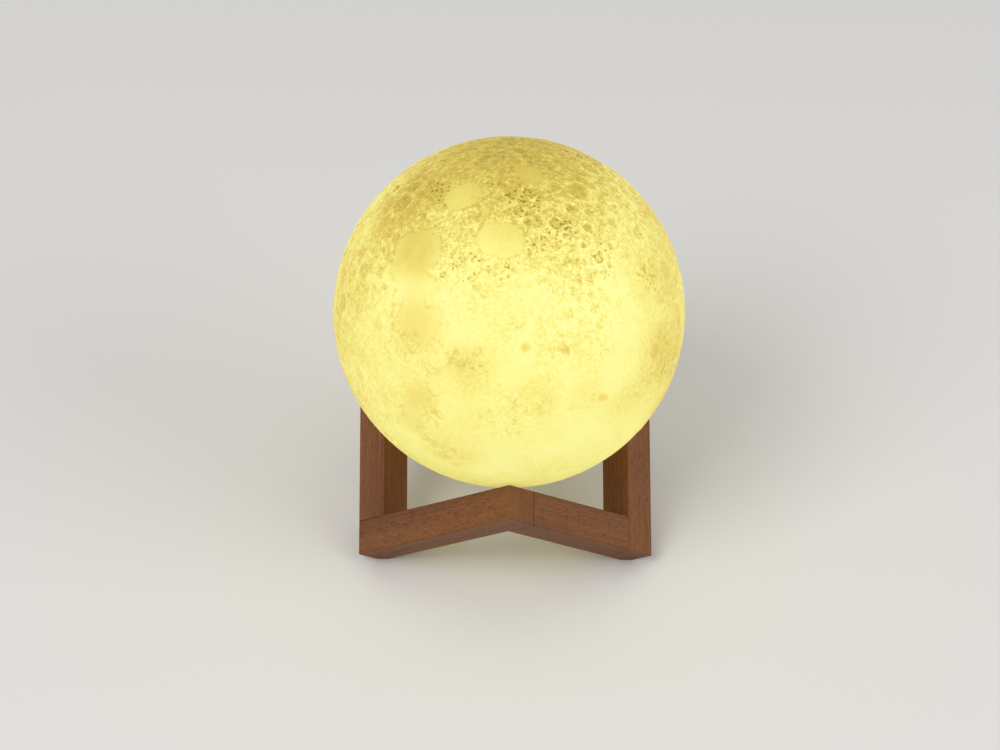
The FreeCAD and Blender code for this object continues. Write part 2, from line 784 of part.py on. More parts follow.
def led_chips():
    chips = []
    for number in range(6):
        x, y = polar("light_radius - led_inset", 30 + 60 * number)
        chips.append(block("led_chip_%d" % number, "led_side", "led_side", "led_height", x, y,
                           "unit_base + light_face"))
    return group("led_chips", chips)


def led_board_screws():
    """Pan-head screws: a low round head on the board and a shank down into the housing's boss."""
    screws = []
    for side, name in ((1, "right"), (-1, "left")):
        x = "%d * led_screw_reach" % side
        head = cylinder("led_screw_head_" + name, "screw_head_diameter", "screw_head_depth", x, 0,
                        "unit_base + light_face")
        shank = cylinder("led_screw_shank_" + name, "screw_diameter", "led_screw_length", x, 0,
                         "unit_base + light_face - led_screw_length")
        screws.append(fuse("led_screw_" + name, head, shank))
    return group("led_board_screws", screws)


def diffuser_dome():
    """Frosted dome on the shoulder of the housing, round the raised seat."""
    inner = "dome_radius - dome_wall"
    corners = [
        (inner, "housing_rim"),
        ("dome_radius", "housing_rim"),
        ("dome_radius", "housing_rim + dome_skirt"),
        (0, "housing_rim + dome_skirt + dome_rise"),
        (0, "housing_rim + dome_skirt + dome_rise - dome_wall"),
        (inner, "housing_rim + dome_skirt - dome_wall / 2"),
    ]
    return put(turned("diffuser_dome", corners, arcs=(2, 4)), z="unit_base")


# ---- Wires ----

def lead(route, bend):
    """A round wire along a route of straight runs, with an arc of the same bend at each corner."""
    corners = [Vector(*(value(part) for part in point)) for point in route]
    edges = []
    start = corners[0]
    for before, corner, after in zip(corners, corners[1:], corners[2:]):
        towards = (corner - before).normalize()
        away = (after - corner).normalize()
        turn = towards.getAngle(away)
        setback = bend * math.tan(turn / 2)
        first = corner - towards * setback
        last = corner + away * setback
        inward = (away - towards).normalize()
        crest = corner + inward * (bend / math.cos(turn / 2) - bend)
        if start.distanceToPoint(first) > 1e-6:
            edges.append(Part.makeLine(start, first))
        edges.append(Part.Arc(first, crest, last).toShape())
        start = last
    if start.distanceToPoint(corners[-1]) > 1e-6:
        edges.append(Part.makeLine(start, corners[-1]))
    path = Part.Wire(edges)
    heading = (corners[1] - corners[0]).normalize()
    ring = Part.Wire([Part.makeCircle(sheet.get("lead_diameter") / 2, corners[0], heading)])
    return path.makePipeShell([ring], True, False)


def wires(name, solids):
    """A node of one or more wires, whose routes count from the plate's lower face."""
    item = doc.addObject("Part::Feature", name)
    item.Shape = solids[0] if len(solids) == 1 else Part.makeCompound(solids)
    return put(item, z="unit_base")


def touch_lead():
    pin_top = "-ring_proud + ring_thickness + pin_reach"
    above = "plate_top + board_height / 3"
    x, y = pin_place()
    route = [(x, y, pin_top), (x, y, above), ("board_near", y, above)]
    return wires("touch_lead", [lead(route, value("lead_bend"))])


def battery_leads():
    """Two hooks from the cell's header over to the top edge of the board."""
    bend = "(cell_middle - board_middle) / 2"
    crest = "max(cell_top; board_top) + " + bend
    hooks = []
    for side in (1, -1):
        y = "%d * lead_spacing / 2" % side
        route = [
            ("cell_middle", y, "cell_top"),
            ("cell_middle", y, crest),
            ("board_middle", y, crest),
            ("board_middle", y, "board_top"),
        ]
        hooks.append(lead(route, value(bend)))
    return wires("battery_leads", hooks)


def led_leads():
    """Two wires from the near face of the control board, up through the housing's top."""
    level = "board_top - 2 * lead_diameter"
    routes = []
    for x, y in led_hole_places():
        route = [("board_near", y, level), (x, y, level), (x, y, "light_face")]
        routes.append(lead(route, value("lead_bend")))
    return wires("led_leads", routes)


# ---- Assembly ----

def build():
    fill_sheet()
    pieces = stand()
    makers = (
        moon_shell, mounting_collar, base_plate, base_screws, touch_ring, touch_lead,
        charging_socket, light_pipe, unit_housing, control_board, board_components,
        battery_cell, battery_pad, battery_leads, led_board, led_chips, led_board_screws,
        led_leads, diffuser_dome,
    )
    pieces += [make() for make in makers]
    doc.recompute()
    for item in doc.Objects:
        if "Invalid" in item.State or "Error" in item.State:
            raise RuntimeError("not built: %s %s" % (item.Label, item.State))
    for piece in pieces:
        if piece.Shape.isNull() or not piece.Shape.isValid():
            raise RuntimeError("bad shape: " + piece.Label)
    return pieces


def export(pieces):
    os.makedirs("parts", exist_ok=True)
    for piece in pieces:
        piece.Shape.exportStep("parts/%s.step" % piece.Label)
        box = piece.Shape.BoundBox
        print("%-24s solids %d  volume %9.1f  z %7.2f to %7.2f" % (
            piece.Label, len(piece.Shape.Solids), piece.Shape.Volume, box.ZMin, box.ZMax))


export(build())
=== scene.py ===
import math

import bpy
import numpy as np
from bpy.props import FloatProperty, FloatVectorProperty, IntProperty, PointerProperty
from mathutils import Matrix, Vector


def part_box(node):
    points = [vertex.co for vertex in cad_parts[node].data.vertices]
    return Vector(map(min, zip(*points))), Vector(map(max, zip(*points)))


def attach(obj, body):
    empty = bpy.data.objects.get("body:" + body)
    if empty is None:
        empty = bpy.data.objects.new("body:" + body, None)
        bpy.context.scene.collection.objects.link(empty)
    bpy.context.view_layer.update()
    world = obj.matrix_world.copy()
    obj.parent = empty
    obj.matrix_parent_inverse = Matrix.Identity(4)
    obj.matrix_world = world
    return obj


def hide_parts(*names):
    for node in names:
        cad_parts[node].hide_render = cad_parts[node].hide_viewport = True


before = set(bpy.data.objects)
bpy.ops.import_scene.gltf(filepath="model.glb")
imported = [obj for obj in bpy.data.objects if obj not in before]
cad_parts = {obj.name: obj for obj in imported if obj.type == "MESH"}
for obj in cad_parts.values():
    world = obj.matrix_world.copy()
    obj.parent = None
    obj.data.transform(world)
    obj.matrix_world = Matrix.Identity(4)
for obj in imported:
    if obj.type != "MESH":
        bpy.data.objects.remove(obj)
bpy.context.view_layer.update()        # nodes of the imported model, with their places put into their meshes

bl_info = {
    "name": "Moon lamp",
    "version": (1, 0, 0),
    "blender": (4, 5, 0),
    "location": "3D View > Sidebar > Moon lamp",
    "description": "Relief, glow, wood and fittings of a moon globe lamp on a wooden stand",
    "category": "Object",
}

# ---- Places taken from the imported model, in metres ----

GLOBE_LOW, GLOBE_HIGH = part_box("moon_shell")
GLOBE_TOP = GLOBE_HIGH.z
OPENING_RADIUS = 0.025
# The globe's radius follows from its top, and from the width and the height of its opening.
GLOBE_SPAN = GLOBE_TOP - GLOBE_LOW.z
GLOBE_RADIUS = (GLOBE_SPAN ** 2 + OPENING_RADIUS ** 2) / (2 * GLOBE_SPAN)
GLOBE_MIDDLE = Vector((0, 0, GLOBE_TOP - GLOBE_RADIUS))

# Edge directions of the cube that the rails lie on: to the right front, left front and back.
RIGHT = Vector((math.sqrt(1 / 2), -math.sqrt(1 / 6), math.sqrt(1 / 3)))
LEFT = Vector((-math.sqrt(1 / 2), -math.sqrt(1 / 6), math.sqrt(1 / 3)))
BACK = Vector((0, math.sqrt(2 / 3), math.sqrt(1 / 3)))
RAILS = {
    "long_rail_front_left": (RIGHT, BACK, LEFT),
    "long_rail_right": (BACK, LEFT, RIGHT),
    "long_rail_back_left": (LEFT, RIGHT, BACK),
    "short_rail_front_right": (LEFT, RIGHT, BACK),
    "short_rail_back_right": (RIGHT, BACK, LEFT),
    "short_rail_left": (BACK, LEFT, RIGHT),
}

# Degrees round to each screw of the plate, from the right of the viewer.
SCREW_TURNS = (30, 150, 270)

# ---- Relief of the globe ----

# Smooth plains: longitude to the right of the viewer, latitude and half the width, all in degrees,
# and how ragged the edge is.
PLAINS = (
    (-12.5, 61, 6.5, 0.15), (-6, 60.5, 6.6, 0.15), (-57, 71, 7.4, 0.6), (-52, 46, 8.6, 0.6),
    (-42, 37, 6.4, 0.8), (-38, 28, 8.2, 0.8), (-31, 4, 4.0, 0.6), (-33, -3, 3.6, 0.6),
    (-36, -10, 3.2, 0.6),
    (150, 42, 9.2, 0.6), (-165, 22, 7.2, 0.5), (-112, -8, 8.2, 0.6), (106, -14, 6.7, 0.5),
    (-150, -2, 9.0, 0.7), (60, 84, 4.0, 0.6),
)
# From and to which share of a plain's half width its edge falls, and how far a raggedness of 1
# shifts the edge, in half widths.
SHORE_START, SHORE_END, SHORE_SHIFT = 0.66, 1.2, 0.6
# How much of the relief a plain takes away, and how much lower it lies.
PLAIN_CALM, PLAIN_DROP = 0.88, 0.3
# Large craters: longitude, latitude and half the width in degrees.
CRATERS = (
    (51, 66, 2.2), (31, 64, 2.2), (50, 58, 1.9), (40, 54, 1.6), (44, 48, 1.9), (73, 68, 4.0),
    (11, 74, 2.4), (28, 5, 2.6), (-24, -1, 2.4), (4, 26, 2.6), (54, 10, 3.0), (76, 28, 4.0),
    (-76, 14, 3.6), (-86, 52, 4.2), (125, 12, 4.4), (-140, 58, 4.8), (178, -22, 4.0),
    (112, 62, 3.6), (-120, 30, 3.4), (-150, -28, 4.2), (64, -30, 3.4), (-50, -26, 3.2),
    (48, 44, 1.6), (18, 24, 1.7), (15, 70, 1.8), (20, 77, 1.6), (60, 61, 1.8), (36, 49, 1.5),
)
CRATER_DEPTH = 0.6
# Half widths in degrees of the smallest and the largest of the small craters.
SMALLEST_CRATER, LARGEST_CRATER = 0.75, 3.2
# Place and width of a crater's lip in half widths, its height as a share of the bowl's depth, and
# how far down a round bowl its flat floor cuts it off.
LIP_PLACE, LIP_WIDTH, LIP_HEIGHT, BOWL_FLOOR = 1.02, 0.2, 0.55, 0.55
# Small orange spots: longitude, latitude and half the width in degrees.
SPOTS = ((4, 26, 1.7), (18, 24, 2.2), (30, 4, 2.0), (-36, 24, 1.6))
# Longitude, latitude and half the width in degrees, how much less they glow, and how warm they are.
TONED_PATCHES = (
    (74, 68, 9, 0.02, 0.03), (-84, 54, 18, 0.13, 0.05), (-74, 40, 12, 0.03, 0.05),
    (-52, 47, 13, 0.12, 0.08), (-42, 38, 9, 0.015, 0.06), (-37, 26, 12, 0.08, 0.24),
    (-31, 3, 8, 0.05, 0.24), (-34, -8, 8, 0.04, 0.14), (-16, 18, 11, 0.045, 0.1),
    (8, 11, 11, 0.045, 0.06), (24, 7, 9, 0.045, 0.08), (54, 10, 14, 0.06, 0.1),
    (62, 36, 14, 0.045, 0.06), (-18, -14, 14, 0.05, 0.08), (40, -2, 12, 0.04, 0.06),
    (-75, 20, 16, 0.03, 0.08), (78, 30, 12, 0.02, 0.1), (105, 35, 20, 0.02, 0.05),
    (-140, 10, 24, 0.05, 0.08), (150, 42, 14, 0.08, 0.1), (-165, 22, 12, 0.06, 0.12),
    (-112, -8, 12, 0.05, 0.12), (106, -14, 10, 0.04, 0.12),
)
# Small dark rings: longitude, latitude and radius in degrees.
RINGS = (
    (50, 67, 1.1), (49, 58, 1.0), (40, 54, 0.8), (44, 48, 1.4), (48, 44, 0.6), (11, 67, 0.6),
    (-10, 78, 1.0), (29, 77, 1.0), (31, 64, 1.9), (69, 35, 1.3), (-25, 0, 0.9), (30, 3, 1.9),
    (32, 19, 1.6), (-33, 45, 1.0), (118, 40, 1.3), (170, 55, 1.2), (95, 8, 1.4), (-82, -4, 1.1),
    (-170, -2, 1.5), (64, -16, 1.2), (-62, -18, 1.4), (-104, 48, 1.2), (140, 12, 1.6),
    (-130, 30, 1.0), (-122, -24, 1.3), (160, -20, 1.1),
)
# Longitude, latitude and half the width, in degrees, of the places crowded with small pits.
PITTED = (
    (11, 74, 10), (46, 46, 8), (-75, 66, 9), (-24, 50, 7), (-5, 51, 5), (14, 60, 6), (33, 61, 7),
    (-12, 20, 7), (62, 32, 9), (128, 58, 12), (-120, 34, 12), (-170, -12, 12), (150, 8, 10),
)
# The same of the places with soft wrinkles.
WRINKLED = (
    (-27, 23, 5), (-28, 15, 5), (-27, 7, 5), (-26, -3, 6), (-28, -14, 6), (-20, 20, 6),
    (-20, -20, 8), (-30, 52, 5), (-28, 44, 5), (60, 2, 9), (120, 0, 14), (-100, 20, 12),
    (-160, 40, 12), (170, 5, 12), (-110, -30, 12),
)
# Layered noises: the largest cell as a share of the globe's radius, the seed and the layers.
NOISES = {
    "plain edges": (0.16, 11, 4), "land": (0.11, 31, 5), "ridges": (0.07, 47, 4),
    "sides": (0.4, 57, 3), "glow": (0.45, 71, 2), "highlands": (0.35, 83, 3),
    "warmth": (0.3, 91, 3),
}
# Steps of the noise's lattice, and the height of a layer as a share of the one before.
LATTICE_SIZE, LAYER_FADE = 32, 0.55
CRATER_SEED = 5


def bearing(longitude, latitude):
    """Unit vector from the middle of the globe, from angles in degrees or arrays of them."""
    around, up = np.radians(longitude), np.radians(latitude)
    return np.stack([np.cos(up) * np.sin(around), -np.cos(up) * np.cos(around), np.sin(up)], -1)


def smooth(value, low, high):
    """0 below low, 1 above high, and between them 3t^2 - 2t^3 of the share t of the way."""
    share = np.clip((value - low) / (high - low), 0, 1)
    return share * share * (3 - 2 * share)


def lattice_noise(points, cell, seed):
    """Random values from -1 to 1 on the corners of a cubic lattice, blended across each cell with
    the smooth step of the three shares of the way through it."""
    values = np.random.default_rng(seed).uniform(-1, 1, (LATTICE_SIZE,) * 3)
    place = points / cell
    low = np.floor(place).astype(int)
    share = smooth(place - low, 0, 1)
    total = np.zeros(points.shape[:-1])
    for corner in np.ndindex(2, 2, 2):
        weight = np.prod(np.where(corner, share, 1 - share), axis=-1)
        x, y, z = np.moveaxis((low + corner) % LATTICE_SIZE, -1, 0)
        total += weight * values[x, y, z]
    return total


def layered_noise(points, name):
    """Lattice noise in layers, each with half the cell of the one before and less height."""
    cell, seed, layers = NOISES[name]
    total = np.zeros(points.shape[:-1])
    for layer in range(layers):
        total += LAYER_FADE ** layer * lattice_noise(points, cell / 2 ** layer, seed + layer)
    return total


def angle_from(directions, longitude, latitude):
    """Degrees between each direction and a place on the globe."""
    return np.degrees(np.arccos(np.clip(directions @ bearing(longitude, latitude), -1, 1)))


def patch_share(directions, longitude, latitude, spread, core):
    """1 within a core, a share of the half width, and falling softly to 0 a tenth past the edge."""
    return 1 - smooth(angle_from(directions, longitude, latitude), core * spread, 1.1 * spread)


def plain_mask(directions):
    """1 on the smooth plains and 0 on the highlands. An edge's angle from its middle is shifted by
    layered noise times the plain's raggedness and half its width."""
    ragged = layered_noise(directions, "plain edges")
    mask = np.zeros(directions.shape[:-1])
    for longitude, latitude, spread, raggedness in PLAINS:
        angle = angle_from(directions, longitude, latitude)
        angle = angle + ragged * raggedness * spread * SHORE_SHIFT
        mask = np.maximum(mask, 1 - smooth(angle, spread * SHORE_START, spread * SHORE_END))
    return mask


def soft_mask(directions, patches):
    """The largest share of the patches at each direction."""
    mask = np.zeros(directions.shape[:-1])
    for patch in patches:
        mask = np.maximum(mask, patch_share(directions, *patch, core=0.3))
    return mask


def roughness(directions):
    """How rough the highlands are: full above a latitude of 60 degrees, a fifth below 0, with
    a ragged change between them, and about three fifths far out to the sides."""
    least, ragged_degrees, ragged_side = 0.22, 30, 0.25
    latitude = np.degrees(np.arcsin(np.clip(directions[..., 2], -1, 1)))
    ragged = layered_noise(directions, "highlands")
    high = smooth(latitude + ragged_degrees * ragged, 0, 60)
    sides = 0.5 * smooth(np.abs(directions[..., 0]) + ragged_side * ragged, 0.45, 1.05)
    return least + (1 - least) * np.maximum(high, sides)


def crater_sizes(count):
    """Middles and half widths in degrees of small craters. Many are small and few are large: half
    the width is the smallest one times a random share to the power -0.4."""
    chance = np.random.default_rng(CRATER_SEED)
    middles = chance.normal(size=(count, 3))
    middles /= np.linalg.norm(middles, axis=1, keepdims=True)
    spreads = SMALLEST_CRATER * chance.uniform(0.01, 1, count) ** -0.4
    return middles, np.minimum(spreads, LARGEST_CRATER)


def add_crater(height, rim, directions, middle, spread, strength, marked=False):
    """One crater. With t the angle from its middle over half its width: a bowl of depth 1 - t^2
    inside it, with a flat floor, and a lip of the bell curve round t = 1. The bowl takes half of
    the relief that was there. A marked crater also brings down rim, the degrees from a point to the
    nearest lip, counted from just inside it."""
    near = directions @ middle > math.cos(math.radians(2.2 * spread + 1))
    share = np.degrees(np.arccos(np.clip(directions[near] @ middle, -1, 1))) / spread
    bowl = np.clip(1 - share ** 2, 0, BOWL_FLOOR) / BOWL_FLOOR
    lip = np.exp(-((share - LIP_PLACE) / LIP_WIDTH) ** 2)
    height[near] = height[near] * (1 - 0.5 * bowl) + strength * (LIP_HEIGHT * lip - bowl)
    if marked:
        rim[near] = np.minimum(rim[near], np.abs(share - 0.95) * spread)


def globe_relief(directions, crater_count):
    """Height from -1 to about 1, the degrees to the nearest marked lip, and the plains, one value
    for each direction. The highlands are layered noise and craters, and the plains lie low and
    smooth. A small crater is deeper the wider it is, and a fifth of the wider ones are marked."""
    far = 3.0
    plain = plain_mask(directions)
    land = layered_noise(directions, "land")
    ridges = 1 - 2 * np.abs(layered_noise(directions, "ridges"))
    height = roughness(directions) * (0.35 * land + 0.25 * ridges)
    rim = np.full(height.shape, far)
    middles, spreads = crater_sizes(crater_count)
    for number in np.argsort(-spreads):
        spread = spreads[number]
        add_crater(height, rim, directions, middles[number], spread, 0.06 + 0.08 * spread,
                   marked=number % 5 == 0 and spread > 1.0)
    height = height * (1 - PLAIN_CALM * plain) - PLAIN_DROP * plain
    rim += far * plain
    for longitude, latitude, spread in CRATERS:
        add_crater(height, rim, directions, bearing(longitude, latitude), spread, CRATER_DEPTH)
    return height, rim, plain


def blurred(grid, reach):
    """Mean of each value and its neighbours up to a reach along the columns, which close in a
    ring, and along the rows, which end."""
    total = sum(np.roll(grid, step, axis=1) for step in range(-reach, reach + 1))
    padded = np.pad(total, ((reach, reach), (0, 0)), mode="edge")
    rows = grid.shape[0]
    total = sum(padded[step:step + rows] for step in range(2 * reach + 1))
    return total / (2 * reach + 1) ** 2


def closed_turning(name, rings, poles):
    """A closed mesh from rings of points, given as rows of a grid whose columns go round, and the
    two points that close its ends."""
    rows, columns = rings.shape[:2]
    points = np.concatenate([rings.reshape(-1, 3), poles])
    index = np.arange(rows * columns).reshape(rows, columns)
    ahead = np.roll(index, -1, axis=1)
    quads = np.stack([index[:-1], index[1:], ahead[1:], ahead[:-1]], -1).reshape(-1, 4)
    first = np.stack([np.full(columns, rows * columns), index[0], ahead[0]], -1)
    last = np.stack([np.full(columns, rows * columns + 1), ahead[-1], index[-1]], -1)
    mesh = bpy.data.meshes.new(name)
    mesh.from_pydata(points.tolist(), [], quads.tolist() + first.tolist() + last.tolist())
    mesh.polygons.foreach_set("use_smooth", np.ones(len(mesh.polygons), bool))
    mesh.update()
    return mesh


def glow_and_warmth(directions):
    """How bright the globe is, and how far its light turns to orange. It is dim round a place
    behind the top, full from 60 degrees off it, and a little less near the opening and in the toned
    patches, with slow changes in between. Far out to the left and right it is painted dimmer and
    more orange, as shade at the globe's outline seen from the front."""
    dimmest, gain = 0.74, 0.27
    level = dimmest + gain * smooth(angle_from(directions, 180, 75), 2, 60)
    level -= 0.07 * smooth(-directions[..., 2], 0.1, 0.62)
    # Painted shade: the globe dimmer and more orange far out to the left and right, as at its
    # outline seen from the front.
    ragged_side = 0.12 * layered_noise(directions, "sides")
    sides = smooth(np.abs(directions[..., 0]) + ragged_side, 0.6, 1.08)
    level -= 0.1 * sides
    warmth = 0.15 * sides + 0.04 * layered_noise(directions, "warmth")
    for longitude, latitude, spread, drop, warm in TONED_PATCHES:
        share = patch_share(directions, longitude, latitude, spread, core=0.2)
        level -= drop * share
        warmth += warm * share
    return level + 0.03 * layered_noise(directions, "glow"), np.clip(warmth, 0, 1)


def globe_mesh(settings):
    """The printed globe as one closed wall. Its section starts at the top, follows the outside down
    to the edge of the opening and comes back up inside. The outside's radius is the globe's less a
    skin and the relief's depth times (1 - height) / 2. The relief ends 5 degrees from the edge."""
    columns, outside_rows, inside_rows = settings.columns, settings.rows, 16
    top_latitude, ridge_reach, ridge_gain = 88, 4, 4
    turn = np.linspace(0, 360, columns, endpoint=False)
    edge = -math.degrees(math.acos(OPENING_RADIUS / GLOBE_RADIUS))
    step = (90 - edge) / outside_rows
    latitude = np.linspace(90 - step, edge, outside_rows)
    directions = bearing(*np.meshgrid(turn, latitude))
    height, rim, plain = globe_relief(directions, settings.crater_count)
    near_edge = smooth(latitude, edge, edge + 5)[:, None]
    height = np.clip(height, -1, 1) * near_edge + (1 - near_edge)
    depth = settings.skin + settings.relief * (1 - height) / 2
    outside = directions * (GLOBE_RADIUS - depth)[..., None]
    inner_radius = GLOBE_RADIUS - settings.wall
    inner_edge = -math.degrees(math.acos(OPENING_RADIUS / inner_radius))
    rise = np.linspace(inner_edge, top_latitude, inside_rows)
    inside = bearing(*np.meshgrid(turn, rise)) * inner_radius
    rings = np.concatenate([outside, inside]) + np.array(GLOBE_MIDDLE)
    crown = np.array(GLOBE_MIDDLE) + [0, 0, GLOBE_RADIUS - settings.skin - settings.relief / 2]
    ceiling = np.array(GLOBE_MIDDLE) + [0, 0, inner_radius]
    mesh = closed_turning("moon_globe", rings, np.array([crown, ceiling]))
    # Painted shade and highlight: darker where the relief lies below its surroundings, brighter
    # where it stands above them.
    ridge = np.clip(ridge_gain * (height - blurred(height, ridge_reach)), -1, 1)
    spare = np.zeros(inside_rows * columns)
    glow, warmth = glow_and_warmth(directions)
    marks = {"ridge": ridge, "rim": rim, "plain": plain, "glow": glow, "warmth": warmth,
             "rough": roughness(directions), "spot": soft_mask(directions, SPOTS),
             "pitted": soft_mask(directions, PITTED),
             "wrinkled": soft_mask(directions, WRINKLED)}
    for label, values in marks.items():
        ends = [values[0].mean(), 0]
        layer = mesh.attributes.new(label, "FLOAT", "POINT")
        layer.data.foreach_set("value", np.concatenate([values.ravel(), spare, ends]))
    return mesh


def add_object(name, data):
    """Puts a new object in the scene."""
    item = bpy.data.objects.new(name, data)
    bpy.context.scene.collection.objects.link(item)
    return item


def crossed_screws(settings):
    """The plate's screws with a cross recess in each head. The recess is a cross of two bars that
    narrows by half from just outside the head's face to its floor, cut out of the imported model's
    screws."""
    reach, width, depth = settings.recess_reach, settings.recess_width, settings.recess_depth
    scales = np.array([0.5, 1.0])[:, None, None]
    quarters = np.radians(np.arange(0, 360, 90))[:, None]
    along = np.array([reach, reach, width])
    across = np.array([-width, width, width])
    outline = np.stack([along * np.cos(quarters) - across * np.sin(quarters),
                        along * np.sin(quarters) + across * np.cos(quarters)], -1).reshape(-1, 2)
    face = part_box("base_screws")[0].z
    floor, outside = face + depth, face - 0.1 * depth
    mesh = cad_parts["base_screws"].data.copy()
    mesh.name = "crossed_screws"
    screws = add_object("crossed_screws", mesh)
    cutters = []
    for turn in np.radians(SCREW_TURNS):
        middle = settings.screw_circle * np.array([math.cos(turn), math.sin(turn)])
        rings = np.zeros((2, len(outline), 3))
        rings[:, :, :2] = middle + outline * scales
        rings[:, :, 2] = np.array([[floor], [outside]])
        poles = np.array([[*middle, floor], [*middle, outside]])
        cutter = add_object("cross_recess", closed_turning("cross_recess", rings, poles))
        cut = screws.modifiers.new("cross_recess", "BOOLEAN")
        cut.object = cutter
        cutters.append(cutter)
    depsgraph = bpy.context.evaluated_depsgraph_get()
    cut_mesh = bpy.data.meshes.new_from_object(screws.evaluated_get(depsgraph))
    screws.modifiers.clear()
    screws.data = cut_mesh
    cut_mesh.polygons.foreach_set("use_smooth", np.zeros(len(cut_mesh.polygons), bool))
    for cutter in cutters:
        bpy.data.objects.remove(cutter)
    return screws


# ---- Shader nodes ----

def give(tree, socket, given):
    """Links a socket to another one, or sets its value."""
    if isinstance(given, bpy.types.NodeSocket):
        tree.links.new(given, socket)
    else:
        socket.default_value = given


def feed(tree, sockets, **given):
    """Gives sockets, named with underscores, a value or a link."""
    for label, item in given.items():
        give(tree, sockets[label.replace("_", " ")], item)


def node(tree, kind, inputs=(), **settings):
    """Adds a node, sets its properties, and gives named or numbered inputs a value or a link."""
    item = tree.nodes.new(kind)
    for name, setting in settings.items():
        setattr(item, name, setting)
    for name, given in dict(inputs).items():
        give(tree, item.inputs[name], given)
    return item


def calc(tree, operation, *values):
    return node(tree, "ShaderNodeMath", enumerate(values), operation=operation).outputs[0]


def plus(tree, first, *others):
    for other in others:
        first = calc(tree, "ADD", first, other)
    return first


def times(tree, first, *others):
    for other in others:
        first = calc(tree, "MULTIPLY", first, other)
    return first


def swing(tree, value, middle, share):
    """How far a value is from its middle, times a share."""
    return times(tree, calc(tree, "SUBTRACT", value, middle), share)


def vector_calc(tree, operation, first, second):
    return node(tree, "ShaderNodeVectorMath", {0: first, 1: second}, operation=operation).outputs


def noise(tree, vector, scale, detail=2.0, roughness=0.5, kind="FBM"):
    return node(tree, "ShaderNodeTexNoise", {
        "Vector": vector, "Scale": scale, "Detail": detail, "Roughness": roughness},
        noise_type=kind).outputs[0]


def cells(tree, vector, scale, randomness=1.0, **settings):
    return node(tree, "ShaderNodeTexVoronoi", {
        "Vector": vector, "Scale": scale, "Randomness": randomness}, **settings).outputs["Distance"]


def remap(tree, value, low, high, start=0.0, end=1.0):
    """Maps a value from low..high to start..end with a smooth step."""
    return node(tree, "ShaderNodeMapRange", {0: value, 1: low, 2: high, 3: start, 4: end},
                interpolation_type="SMOOTHSTEP").outputs[0]


def blend(tree, factor, first, second, blend_type="MIX"):
    """Mixes two colours. The node's inputs 0, 6 and 7 are its factor and its colours."""
    return node(tree, "ShaderNodeMix", {0: factor, 6: first, 7: second}, data_type="RGBA",
                blend_type=blend_type).outputs[2]


def ramp(tree, factor, stops):
    """Colours between stops, each given as its place from 0 to 1 and its colour."""
    item = node(tree, "ShaderNodeValToRGB", {"Fac": factor})
    points = item.color_ramp.elements
    while len(points) < len(stops):
        points.new(1)
    for point, (place, colour) in zip(points, stops):
        point.position = place
        point.color = (*colour, 1)
    return item.outputs["Color"]


def object_place(tree, middle=(0, 0, 0), axes=None):
    """Object coordinates counted from a middle. With axes, its X, Y and Z run along those three."""
    place = node(tree, "ShaderNodeTexCoord").outputs["Object"]
    inputs = {"Vector": place, "Location": -Vector(middle)}
    if axes:
        turn = Matrix(axes)
        inputs["Rotation"] = turn.to_euler("XYZ")
        inputs["Location"] = -(turn @ Vector(middle))
    return node(tree, "ShaderNodeMapping", inputs).outputs["Vector"]


def mark(tree, label):
    return node(tree, "ShaderNodeAttribute", attribute_name=label).outputs["Fac"]


def shifted(tree, place, scale, reach):
    """The place moved by up to half the reach, in a direction that noise of a scale picks."""
    wander = node(tree, "ShaderNodeTexNoise", {"Vector": place, "Scale": scale, "Detail": 2.0})
    wander = vector_calc(tree, "SUBTRACT", wander.outputs["Color"], (0.5, 0.5, 0.5))[0]
    wander = vector_calc(tree, "MULTIPLY", wander, (reach, reach, reach))[0]
    return vector_calc(tree, "ADD", place, wander)[0]


def nearest_ring(tree, place, rings):
    """Metres to the nearest of the rings on the globe, measured straight."""
    nearest = 1.0
    for longitude, latitude, radius in rings:
        middle = Vector(bearing(longitude, latitude)) * GLOBE_RADIUS
        away = vector_calc(tree, "DISTANCE", place, middle)["Value"]
        off = calc(tree, "SUBTRACT", away, math.radians(radius) * GLOBE_RADIUS)
        nearest = calc(tree, "MINIMUM", nearest, calc(tree, "ABSOLUTE", off))
    return nearest


def bump(tree, height, distance):
    return node(tree, "ShaderNodeBump", {
        "Height": height, "Distance": distance, "Strength": 1.0}).outputs["Normal"]


def material(name, **values):
    """A material with one Principled BSDF, whose sockets are named with underscores."""
    item = bpy.data.materials.new(name)
    item.use_nodes = True
    shader = item.node_tree.nodes["Principled BSDF"].inputs
    feed(item.node_tree, shader, **values)
    return item, item.node_tree, shader


def new_group(name, inputs, second="Roughness"):
    """An empty node group, its input and its output. It takes a Vector and the given colours and
    numbers, and puts out a Color, a second value and a Height."""
    group = bpy.data.node_groups.new(name, "ShaderNodeTree")
    add_socket = group.interface.new_socket
    add_socket("Vector", in_out="INPUT", socket_type="NodeSocketVector")
    for label, value in inputs.items():
        kind = "NodeSocketColor" if isinstance(value, tuple) else "NodeSocketFloat"
        add_socket(label, in_out="INPUT", socket_type=kind).default_value = value
    add_socket("Color", in_out="OUTPUT", socket_type="NodeSocketColor")
    for label in (second, "Height"):
        add_socket(label, in_out="OUTPUT", socket_type="NodeSocketFloat")
    start = group.nodes.new("NodeGroupInput")
    end = group.nodes.new("NodeGroupOutput")
    return group, start.outputs, end.inputs


def place_group(tree, name, **inputs):
    item = node(tree, "ShaderNodeGroup", node_tree=bpy.data.node_groups[name])
    feed(tree, item.inputs, **inputs)
    return item.outputs


# Noises of the wood: waves per metre along and across the fibres, detail and roughness.
GRAIN = ((5, 80, 3), (10, 900, 3, 0.55), (90, 3000, 4, 0.65), (260, 5200, 1))


